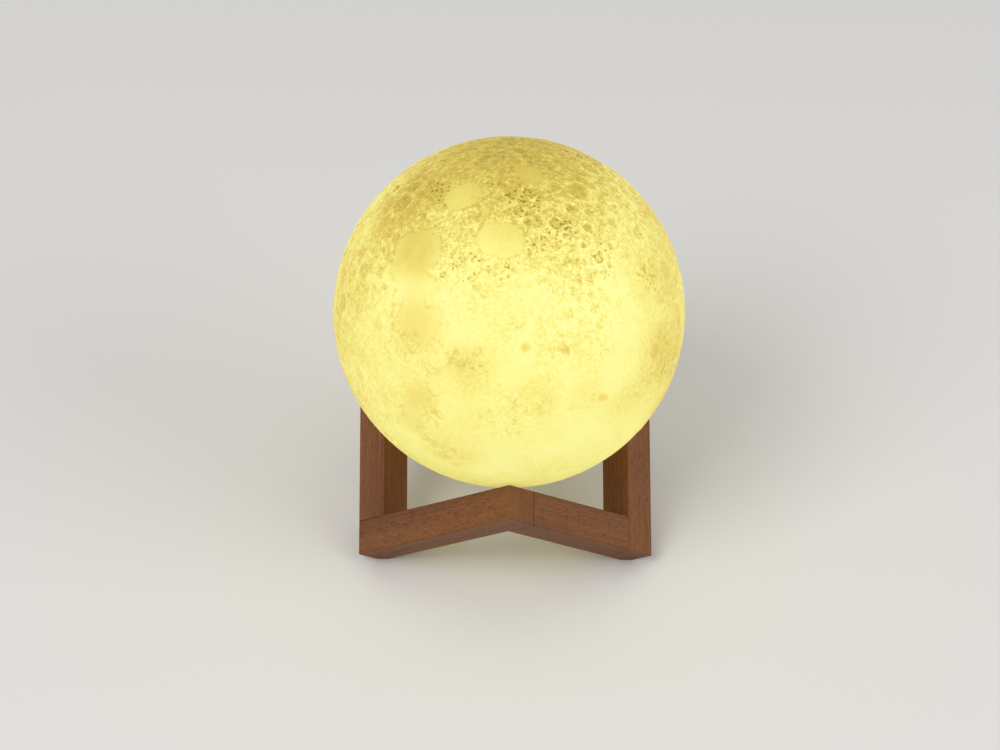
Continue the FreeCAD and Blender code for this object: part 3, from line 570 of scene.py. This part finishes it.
def grain_group():
    """Straight, fine-pored wood. The vector's X runs along the fibres. The tone is a sum of slow
    bands, streaks and fibres, and the pores are short dark dashes."""
    group, start, end = new_group("straight grain", {
        "Pale": (0.5, 0.24, 0.1, 1), "Brown": (0.3, 0.12, 0.05, 1), "Dark": (0.1, 0.04, 0.015, 1)})
    place = start["Vector"]
    bands, streaks, fibres, pores = (
        noise(group, vector_calc(group, "MULTIPLY", place, (along, across, across))[0], 1, *detail)
        for along, across, *detail in GRAIN)
    pores = remap(group, pores, 0.62, 0.72)
    tone = plus(group, times(group, bands, 0.4), times(group, streaks, 0.3),
                times(group, fibres, 0.3))
    colour = blend(group, remap(group, tone, 0.38, 0.64), start["Brown"], start["Pale"])
    colour = blend(group, remap(group, tone, 0.44, 0.34, 0.0, 0.5), colour, start["Dark"])
    colour = blend(group, times(group, pores, 0.5), colour, start["Dark"])
    feed(group, end, Color=colour, Roughness=remap(group, fibres, 0.2, 0.8, 0.62, 0.44),
         Height=calc(group, "SUBTRACT", times(group, fibres, 0.5), pores))


def moulding_group():
    """Fine spark-eroded texture of a moulded surface, with a slow change of tone."""
    group, start, end = new_group("moulded skin", {
        "Tint": (0.8, 0.8, 0.78, 1), "Shade": (0.6, 0.59, 0.56, 1), "Spark": 1800.0})
    place = start["Vector"]
    slow = noise(group, place, 55, 3)
    spark = noise(group, place, start["Spark"], 2, 0.6)
    specks = remap(group, cells(group, place, 420), 0.1, 0.02)
    colour = blend(group, remap(group, slow, 0.35, 0.75), start["Tint"], start["Shade"])
    colour = blend(group, times(group, specks, 0.25), colour, start["Shade"])
    feed(group, end, Color=colour, Roughness=remap(group, spark, 0.25, 0.75, 0.38, 0.58),
         Height=spark)


def turned_metal_group():
    """Metal worked on a lathe: fine rings round the Z axis of the vector, and slow smudges."""
    group, start, end = new_group("turned metal", {
        "Tint": (0.8, 0.8, 0.8, 1), "Shade": (0.5, 0.5, 0.5, 1), "Ring Scale": 6000.0})
    parts = node(group, "ShaderNodeSeparateXYZ", {0: start["Vector"]}).outputs
    radius = calc(group, "SQRT", plus(group, calc(group, "POWER", parts["X"], 2.0),
                                      calc(group, "POWER", parts["Y"], 2.0)))
    spun = node(group, "ShaderNodeCombineXYZ", {
        "X": times(group, radius, start["Ring Scale"]), "Z": parts["Z"]})
    rings = noise(group, spun.outputs[0], 1, 2)
    smudges = noise(group, start["Vector"], 160, 3)
    colour = blend(group, remap(group, rings, 0.35, 0.7), start["Tint"], start["Shade"])
    rough = plus(group, remap(group, smudges, 0.3, 0.7, 0.16, 0.22), times(group, rings, 0.1))
    feed(group, end, Color=colour, Roughness=rough, Height=rings)


def circuit_group():
    """Circuit board: tracks along the borders of square cells under the lacquer, round pads."""
    group, start, end = new_group("circuit board", {
        "Lacquer": (0.03, 0.2, 0.08, 1), "Track": (0.08, 0.36, 0.14, 1),
        "Solder": (0.65, 0.65, 0.62, 1)}, second="Metallic")
    place = start["Vector"]
    squares = cells(group, place, 420, distance="CHEBYCHEV", feature="F1")
    tracks = remap(group, calc(group, "PINGPONG", squares, 0.12), 0.05, 0.07)
    pads = remap(group, cells(group, place, 260, randomness=0.35), 0.16, 0.13)
    colour = blend(group, tracks, start["Lacquer"], start["Track"])
    colour = blend(group, pads, colour, start["Solder"])
    feed(group, end, Color=colour, Metallic=pads,
         Height=plus(group, pads, times(group, tracks, 0.4)))


GROUPS = (grain_group, moulding_group, turned_metal_group, circuit_group)


# ---- Materials of the pieces ----

def coat(tree, shader, surface, depth):
    """Feeds a shader the colour, the roughness and the height of a placed group."""
    feed(tree, shader, Base_Color=surface["Color"], Roughness=surface["Roughness"],
         Normal=bump(tree, surface["Height"], depth))


def dress(name, finish):
    """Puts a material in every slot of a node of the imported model."""
    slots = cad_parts[name].data.materials
    slots.clear()
    slots.append(finish)


# How the light level of the print answers to a texture: the value that leaves it as it is, and the
# change of level from a texture of 0 to one of 1. The fine textures count only on rough land.
SLOW_TEXTURES = {
    # The edges of the plains are painted darker, as shade along them.
    "patches": (0.5, 0.16), "plain": (0.0, -0.012), "shore_shade": (0.0, -0.06), "spot": (0.0, -0.05),
}
FINE_TEXTURES = {
    # The relief's mark and the pits are painted highlight and shade: brighter ridges, darker
    # hollows and pits.
    "grit": (0.5, 0.36), "crumbs": (0.5, 0.66), "creases": (0.85, 0.075), "ridge": (0.0, 0.07),
    "pits": (0.0, -0.3), "rings": (0.0, -0.2),
}
WRINKLE_DEPTH = 0.075
# The share of the fine textures that is left on a plain.
PLAIN_GRIT = 0.16
# Colours of the glow at each level. A ramp ends at 1, so the level is scaled to fit it.
LEVEL_SCALE = 0.94
GLOW_COLOURS = (
    (0.282, (0.16, 0.11, 0.012)), (0.47, (0.3, 0.23, 0.028)), (0.658, (0.6, 0.45, 0.068)),
    (0.752, (0.7, 0.55, 0.1)), (0.827, (0.84, 0.72, 0.165)), (0.893, (0.95, 0.87, 0.245)),
    (0.94, (0.985, 0.935, 0.32)), (1.0, (0.965, 0.96, 0.37)),
)
ORANGE = (0.88, 0.58, 0.12, 1)


def pit_mask(tree, place, uneven):
    """1 in small pits: the middles of cells, where slow noise or a pitted place crowds them. The
    print paints them dark as shade in its glow, and sinks them in its bump.
    """
    crowd = plus(tree, noise(tree, place, 130, 3), times(tree, mark(tree, "pitted"), 0.3))
    return times(tree, remap(tree, cells(tree, uneven, 520), 0.44, 0.15),
                 remap(tree, crowd, 0.66, 0.8))


def ring_mask(tree, place, uneven):
    """1 on the small dark rings, which fade out from 0.2 to 0.7 mm off their circles, and up to 0.6
    within half a degree of the marked lips. Noise breaks both."""
    broken = remap(tree, noise(tree, place, 420, 2), 0.42, 0.6)
    lip = remap(tree, mark(tree, "rim"), 0.5, 0.12, 0.0, 0.6)
    ring = remap(tree, nearest_ring(tree, uneven, RINGS), 0.0007, 0.0002)
    return calc(tree, "MAXIMUM", times(tree, lip, broken),
                times(tree, ring, remap(tree, broken, 0.0, 1.0, 0.15, 1.0)))


def wrinkle_mask(tree, place):
    """1 on wrinkles: lines where noise crosses its middle, in soft patches and wrinkled places."""
    wave = calc(tree, "ABSOLUTE", calc(tree, "SUBTRACT", noise(tree, place, 160, 3), 0.5))
    patches = remap(tree, noise(tree, place, 30, 2), 0.46, 0.66, 0.0, 0.45)
    return times(tree, remap(tree, wave, 0.07, 0.0),
                 calc(tree, "MAXIMUM", patches, mark(tree, "wrinkled")))


def printed_globe(settings):
    """Glowing print. One level runs from dark pits to bright ridges, painted shade and highlight of
    the relief, and its colour feeds both the glow and the surface, so that the relief and its
    painted light and shade read in both."""
    finish, tree, shader = material(
        "printed_moon", Roughness=0.62, Emission_Strength=settings.glow_strength,
        Specular_IOR_Level=0.3)
    place = object_place(tree, GLOBE_MIDDLE)
    uneven = shifted(tree, place, 700, 0.0012)
    grit = noise(tree, place, 1500, 3, 0.65)
    crumbs = noise(tree, place, 620, 4, 0.7)
    plain = plus(tree, mark(tree, "plain"), swing(tree, crumbs, 0.5, 0.7))
    plain = remap(tree, plain, 0.05, 0.95)
    highland = calc(tree, "SUBTRACT", 1.0, plain)
    land = times(tree, remap(tree, plain, 0.0, 1.0, 1.0, PLAIN_GRIT), mark(tree, "rough"))
    pits = pit_mask(tree, place, uneven)
    spot = mark(tree, "spot")
    textures = {
        "patches": noise(tree, place, 42, 4, 0.6), "plain": plain,
        # Painted shade along the edges of the plains.
        "shore_shade": times(tree, plain, highland), "spot": spot, "grit": grit, "crumbs": crumbs,
        "creases": noise(tree, place, 240, 5, 0.7, "RIDGED_MULTIFRACTAL"),
        # Painted highlight on ridges, and painted shade in hollows and pits.
        "ridge": mark(tree, "ridge"), "pits": pits, "rings": ring_mask(tree, place, uneven),
    }
    slow, fine = ([swing(tree, textures[name], *answer) for name, answer in table.items()]
                  for table in (SLOW_TEXTURES, FINE_TEXTURES))
    wrinkles = times(tree, wrinkle_mask(tree, place), WRINKLE_DEPTH, highland)
    level = plus(tree, mark(tree, "glow"), *slow, times(tree, plus(tree, *fine), land))
    level = times(tree, calc(tree, "SUBTRACT", level, wrinkles), LEVEL_SCALE)
    orange = calc(tree, "MAXIMUM", mark(tree, "warmth"), times(tree, spot, 0.55))
    glow = blend(tree, orange, ramp(tree, level, GLOW_COLOURS), ORANGE)
    # Painted light: the surface colour copies the glow, together with its painted shade and
    # highlight.
    body = blend(tree, 1.0, glow, (*settings.body_tint, 1), "MULTIPLY")
    height = plus(tree, times(tree, crumbs, 0.6), times(tree, grit, 0.3))
    height = times(tree, calc(tree, "SUBTRACT", height, pits), land)
    feed(tree, shader, Base_Color=body, Emission_Color=glow, Normal=bump(tree, height, 0.0004))
    return finish


def rail_wood(name, axes, settings):
    """Oiled wood with the grain along one rail, from a place of its own in the plank."""
    finish, tree, shader = material("rail_wood_" + name, Specular_IOR_Level=0.28)
    low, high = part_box(name)
    place = object_place(tree, (low + high) / 2, axes)
    shift = Vector((0.3, 0.17, 0.23)) * (1 + list(RAILS).index(name))
    place = vector_calc(tree, "ADD", place, shift)[0]
    wood = place_group(tree, "straight grain", Vector=place, Pale=(*settings.pale, 1),
                       Brown=(*settings.brown, 1), Dark=(*settings.dark, 1))
    coat(tree, shader, wood, 0.00025)
    return finish


def dowel_wood():
    """Raw pale wood."""
    finish, tree, shader = material("dowel_wood")
    wood = place_group(tree, "straight grain", Vector=object_place(tree, axes=(LEFT, RIGHT, BACK)),
                       Pale=(0.62, 0.45, 0.26, 1), Brown=(0.5, 0.34, 0.18, 1),
                       Dark=(0.36, 0.23, 0.12, 1))
    coat(tree, shader, wood, 0.0002)
    return finish


def moulded(name, tint, shade, spark=1800.0, depth=0.00012, **values):
    """Moulded plastic or rubber in one tint with a darker shade."""
    finish, tree, shader = material(name, **values)
    skin = place_group(tree, "moulded skin", Vector=object_place(tree), Tint=(*tint, 1),
                       Shade=(*shade, 1), Spark=spark)
    coat(tree, shader, skin, depth)
    return finish


def metal(name, tint, shade, ring_scale=6000.0):
    """Worked metal with fine rings round the upright axis of the lamp."""
    finish, tree, shader = material(name, Metallic=1.0)
    worked = place_group(tree, "turned metal", Vector=object_place(tree), Tint=(*tint, 1),
                         Shade=(*shade, 1), Ring_Scale=ring_scale)
    coat(tree, shader, worked, 0.00003)
    return finish


def board(name, lacquer, track):
    """Lacquered circuit board with tracks in a tone of the lacquer."""
    finish, tree, shader = material(name, Roughness=0.3, Coat_Weight=0.4, Coat_Roughness=0.2)
    circuit = place_group(tree, "circuit board", Vector=object_place(tree),
                          Lacquer=(*lacquer, 1), Track=(*track, 1))
    feed(tree, shader, Base_Color=circuit["Color"], Metallic=circuit["Metallic"],
         Normal=bump(tree, circuit["Height"], 0.00005))
    return finish


def wire_sleeve(name, axis):
    """Two sleeves side by side, one red and one black, told apart by their side of the middle
    along an axis."""
    finish, tree, shader = material(name)
    place = object_place(tree)
    side = node(tree, "ShaderNodeSeparateXYZ", {0: place}).outputs[axis]
    skin = place_group(tree, "moulded skin", Vector=place, Tint=(0.55, 0.03, 0.02, 1),
                       Shade=(0.4, 0.02, 0.015, 1))
    colour = blend(tree, remap(tree, side, 0.0001, -0.0001), skin["Color"], (0.03, 0.03, 0.03, 1))
    feed(tree, shader, Base_Color=colour, Roughness=skin["Roughness"],
         Normal=bump(tree, skin["Height"], 0.0001))
    return finish


def cell_foil():
    """Crinkled aluminium pouch."""
    finish, tree, shader = material("cell_foil", Metallic=0.9)
    place = object_place(tree)
    crinkle = noise(tree, place, 240, 4, 0.6)
    folds = remap(tree, cells(tree, place, 130, feature="DISTANCE_TO_EDGE"), 0.0, 0.12)
    colour = blend(tree, remap(tree, crinkle, 0.3, 0.7), (0.62, 0.63, 0.65, 1),
                   (0.78, 0.79, 0.8, 1))
    height = plus(tree, crinkle, times(tree, folds, 0.5))
    feed(tree, shader, Base_Color=colour, Roughness=remap(tree, crinkle, 0.3, 0.7, 0.25, 0.45),
         Normal=bump(tree, height, 0.0003))
    return finish


def foam_tape():
    """Dark closed-cell foam."""
    finish, tree, shader = material("foam_tape", Specular_IOR_Level=0.2)
    bubbles = cells(tree, object_place(tree), 1500)
    colour = blend(tree, remap(tree, bubbles, 0.1, 0.6), (0.008, 0.008, 0.009, 1),
                   (0.05, 0.05, 0.052, 1))
    feed(tree, shader, Base_Color=colour, Roughness=remap(tree, bubbles, 0.1, 0.6, 0.8, 0.95),
         Normal=bump(tree, bubbles, 0.0003))
    return finish


def light_chip():
    """Yellow phosphor, in a slightly uneven pour, that glows."""
    finish, tree, shader = material("led_phosphor", Roughness=0.35, Emission_Strength=2.0)
    pour = noise(tree, object_place(tree), 600, 3)
    colour = blend(tree, remap(tree, pour, 0.3, 0.7), (0.9, 0.62, 0.12, 1), (1.0, 0.78, 0.3, 1))
    feed(tree, shader, Base_Color=colour, Emission_Color=colour, Normal=bump(tree, pour, 0.0001))
    return finish


def clear_pin():
    """Clear plastic with a lightly ground end."""
    finish, tree, shader = material("clear_plastic", Transmission_Weight=0.9, IOR=1.49)
    ground = noise(tree, object_place(tree), 2500, 2)
    colour = blend(tree, remap(tree, ground, 0.2, 0.8), (0.9, 0.93, 0.95, 1), (0.8, 0.86, 0.9, 1))
    feed(tree, shader, Base_Color=colour, Roughness=remap(tree, ground, 0.3, 0.7, 0.08, 0.22),
         Normal=bump(tree, ground, 0.00003))
    return finish


# ---- Settings ----

class GlobeSettings(bpy.types.PropertyGroup):
    relief: FloatProperty(
        name="Relief", description="Depth from the highest ridge to the deepest pit",
        default=0.00085, unit="LENGTH")
    skin: FloatProperty(
        name="Skin", description="From the round outline to the highest ridge",
        default=0.0002, unit="LENGTH")
    wall: FloatProperty(
        name="Wall", description="Thickness of the globe's wall", default=0.0016, unit="LENGTH")
    columns: IntProperty(
        name="Columns", description="Steps of the mesh round the globe", default=432)
    rows: IntProperty(
        name="Rows", description="Steps of the mesh from the top to the opening", default=196)
    crater_count: IntProperty(
        name="Small craters", description="How many small craters are scattered", default=1500)
    glow_strength: FloatProperty(
        name="Glow", description="Strength of the light in the wall", default=0.62)
    # The print's colour under room light is this tint times the glow's colour, which paints the
    # lamp's light into the surface.
    body_tint: FloatVectorProperty(
        name="Body tint", description="Colour of the print under room light, times the glow's",
        subtype="COLOR", default=(0.42, 0.42, 0.42))


class BaseSettings(bpy.types.PropertyGroup):
    screw_circle: FloatProperty(
        name="Screw circle", description="From the middle of the plate to the screws",
        default=0.0209, unit="LENGTH")
    recess_reach: FloatProperty(
        name="Recess reach", description="From the middle of a screw to the end of its cross",
        default=0.00115, unit="LENGTH")
    recess_width: FloatProperty(
        name="Recess width", description="Half the width of a bar of the cross",
        default=0.0003, unit="LENGTH")
    recess_depth: FloatProperty(
        name="Recess depth", description="Depth of the cross", default=0.0009, unit="LENGTH")


class StandSettings(bpy.types.PropertyGroup):
    pale: FloatVectorProperty(
        name="Pale", description="Colour of the early wood", subtype="COLOR",
        default=(0.22, 0.08, 0.021))
    brown: FloatVectorProperty(
        name="Brown", description="Main colour of the wood", subtype="COLOR",
        default=(0.135, 0.045, 0.012))
    dark: FloatVectorProperty(
        name="Dark", description="Colour of the streaks and pores", subtype="COLOR",
        default=(0.05, 0.017, 0.006))


class StageSettings(bpy.types.PropertyGroup):
    camera_place: FloatVectorProperty(
        name="Camera", description="Place of the camera", subtype="TRANSLATION", unit="LENGTH",
        default=(-0.044814, -1.242151, 1.058233))
    heading: FloatProperty(
        name="Heading", description="Turn of the view to the right", subtype="ANGLE",
        default=math.radians(1.92))
    look_down: FloatProperty(
        name="Look down", description="Slope of the view", subtype="ANGLE",
        default=math.radians(38.3))
    roll: FloatProperty(
        name="Roll", description="Tilt of the camera", subtype="ANGLE", default=math.radians(1.53))
    lens: FloatProperty(
        name="Lens", description="Focal length in millimetres for a sensor 36 mm wide",
        default=132.806)
    key_power: FloatProperty(
        name="Key", description="Power of the main lamp", unit="POWER", default=26.0)
    fill_power: FloatProperty(
        name="Fill", description="Power of the side lamp", unit="POWER", default=10.0)
    sky: FloatProperty(
        name="Sky", description="Strength of the even light from all round", default=0.5)
    floor_tint: FloatVectorProperty(
        name="Floor", description="Colour of the floor", subtype="COLOR",
        default=(0.8, 0.79, 0.77))


# Soft lamps: the place and the width in metres, and the setting that holds the power.
LAMPS = {
    "key_lamp": ((-1.1, -1.3, 1.9), 1.3, "key_power"),
    "fill_lamp": ((1.5, -0.8, 1.0), 1.2, "fill_power"),
}
SENSOR_WIDTH = 36
# Half the width of the floor, and how far it lies under the feet, so that the two don't coincide.
FLOOR_REACH, FLOOR_GAP = 12.0, 0.0001


# ---- Operators ----

class SetStage(bpy.types.Operator):
    """Adds the floor, the soft lamps and the camera"""
    bl_idname = "moon_lamp.stage"
    bl_label = "Stage"

    def execute(self, context):
        settings = context.scene.moon_lamp_stage
        add_camera(context, settings)
        add_floor(settings)
        for name, (place, size, power) in LAMPS.items():
            add_lamp(name, place, size, getattr(settings, power))
        set_sky(context, settings)
        context.scene.view_settings.view_transform = "Standard"
        return {"FINISHED"}


class MakeGlobe(bpy.types.Operator):
    """Makes the printed globe with its relief, in place of the plain one"""
    bl_idname = "moon_lamp.globe"
    bl_label = "Globe"

    def execute(self, context):
        settings = context.scene.moon_lamp_globe
        globe = add_object("moon_globe", globe_mesh(settings))
        globe.data.materials.append(printed_globe(settings))
        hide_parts("moon_shell")
        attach(globe, "moon")
        return {"FINISHED"}


class FinishStand(bpy.types.Operator):
    """Gives each rail its own wood, and the dowels raw wood"""
    bl_idname = "moon_lamp.stand"
    bl_label = "Stand"

    def execute(self, context):
        settings = context.scene.moon_lamp_stand
        for name, axes in RAILS.items():
            dress(name, rail_wood(name, axes, settings))
        dress("joint_dowels", dowel_wood())
        return {"FINISHED"}


class FinishBase(bpy.types.Operator):
    """Finishes the plate under the globe, its ring, screws, inlet and light pipe"""
    bl_idname = "moon_lamp.base"
    bl_label = "Base"

    def execute(self, context):
        white = moulded("white_plastic", (0.76, 0.75, 0.71), (0.66, 0.64, 0.6))
        for name in ("base_plate", "mounting_collar", "unit_housing"):
            dress(name, white)
        dress("touch_ring", metal("touch_metal", (0.82, 0.82, 0.83), (0.62, 0.62, 0.64)))
        steel = metal("screw_steel", (0.6, 0.6, 0.62), (0.4, 0.4, 0.42), ring_scale=9000.0)
        dress("led_board_screws", steel)
        screws = crossed_screws(context.scene.moon_lamp_base)
        screws.data.materials.clear()
        screws.data.materials.append(steel)
        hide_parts("base_screws")
        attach(screws, "moon")
        dress("charging_socket", metal("socket_steel", (0.64, 0.64, 0.66), (0.45, 0.45, 0.47)))
        dress("light_pipe", clear_pin())
        return {"FINISHED"}


class FinishLightUnit(bpy.types.Operator):
    """Finishes the boards, the cell, the wires and the light source inside the globe"""
    bl_idname = "moon_lamp.light_unit"
    bl_label = "Light unit"

    def execute(self, context):
        dress("control_board", board("board_green", (0.02, 0.16, 0.06), (0.05, 0.3, 0.11)))
        dress("led_board", board("board_white", (0.72, 0.72, 0.69), (0.6, 0.6, 0.56)))
        dress("board_components", moulded("chip_black", (0.02, 0.02, 0.022), (0.045, 0.045, 0.05),
                                          spark=3200.0, depth=0.00005))
        dress("battery_cell", cell_foil())
        dress("battery_pad", foam_tape())
        dress("led_chips", light_chip())
        dress("diffuser_dome", moulded("frosted_plastic", (0.8, 0.79, 0.74), (0.7, 0.68, 0.62),
                                       spark=2600.0, depth=0.00006, Transmission_Weight=0.35))
        for name in ("battery_leads", "led_leads"):
            dress(name, wire_sleeve("wire_sleeve_" + name, "Y"))
        dress("touch_lead", wire_sleeve("wire_sleeve_touch_lead", "Z"))
        return {"FINISHED"}


def add_camera(context, settings):
    """A camera that starts out looking straight down, is turned by its roll, tipped up to its
    slope and turned to its heading."""
    turn = (Matrix.Rotation(-settings.heading, 4, "Z")
            @ Matrix.Rotation(math.pi / 2 - settings.look_down, 4, "X")
            @ Matrix.Rotation(settings.roll, 4, "Z"))
    data = bpy.data.cameras.new("camera")
    data.sensor_width = SENSOR_WIDTH
    data.lens = settings.lens
    camera = add_object("camera", data)
    camera.matrix_world = Matrix.Translation(settings.camera_place) @ turn
    context.scene.camera = camera


def add_floor(settings):
    """A plain pale floor that reaches past every view."""
    mesh = bpy.data.meshes.new("floor")
    signs = ((-1, -1), (1, -1), (1, 1), (-1, 1))
    corners = [(x * FLOOR_REACH, y * FLOOR_REACH, 0) for x, y in signs]
    mesh.from_pydata(corners, [], [(0, 1, 2, 3)])
    finish, _, _ = material("floor", Base_Color=(*settings.floor_tint, 1), Roughness=0.9,
                            Specular_IOR_Level=0.1)
    mesh.materials.append(finish)
    floor = add_object("floor", mesh)
    floor.location.z = -FLOOR_GAP


def add_lamp(name, place, size, power):
    """A square lamp that faces the middle of the object."""
    data = bpy.data.lights.new(name, "AREA")
    data.size = size
    data.energy = power
    lamp = add_object(name, data)
    lamp.location = place
    aim = GLOBE_MIDDLE - lamp.location
    lamp.rotation_euler = aim.to_track_quat("-Z", "Y").to_euler()


def set_sky(context, settings):
    """Even pale light. Camera, glossy and transmission rays see a white backdrop."""
    world = bpy.data.worlds.new("studio")
    world.use_nodes = True
    tree = world.node_tree
    rays = node(tree, "ShaderNodeLightPath").outputs
    seen = calc(tree, "MAXIMUM", rays["Is Camera Ray"], rays["Is Glossy Ray"])
    seen = calc(tree, "MAXIMUM", seen, rays["Is Transmission Ray"])
    strength = node(tree, "ShaderNodeMapRange", {0: seen, 3: settings.sky, 4: 1.0}).outputs[0]
    feed(tree, tree.nodes["Background"].inputs, Color=(1, 1, 1, 1), Strength=strength)
    context.scene.world = world


class LampPanel(bpy.types.Panel):
    """Lists the settings and the buttons of the operators"""
    bl_idname = "VIEW3D_PT_moon_lamp"
    bl_label = "Moon lamp"
    bl_space_type = "VIEW_3D"
    bl_region_type = "UI"
    bl_category = "Moon lamp"

    def draw(self, context):
        for label, kind in SETTINGS.items():
            box = self.layout.box()
            for name in kind.__annotations__:
                box.prop(getattr(context.scene, label), name)
        for operator in OPERATORS:
            self.layout.operator(operator.bl_idname)


OPERATORS = (SetStage, MakeGlobe, FinishStand, FinishBase, FinishLightUnit)
SETTINGS = {
    "moon_lamp_globe": GlobeSettings, "moon_lamp_stand": StandSettings,
    "moon_lamp_base": BaseSettings, "moon_lamp_stage": StageSettings,
}


def register():
    for item in (*SETTINGS.values(), *OPERATORS, LampPanel):
        bpy.utils.register_class(item)
    for name, group in SETTINGS.items():
        setattr(bpy.types.Scene, name, PointerProperty(type=group))


def unregister():
    for name in SETTINGS:
        delattr(bpy.types.Scene, name)
    for item in (LampPanel, *reversed(OPERATORS), *SETTINGS.values()):
        bpy.utils.unregister_class(item)


def main():
    """Makes everything in order."""
    register()
    for make_group in GROUPS:
        make_group()
    bpy.ops.moon_lamp.stage()
    bpy.ops.moon_lamp.globe()
    bpy.ops.moon_lamp.stand()
    bpy.ops.moon_lamp.base()
    bpy.ops.moon_lamp.light_unit()


if __name__ == "__main__":
    main()
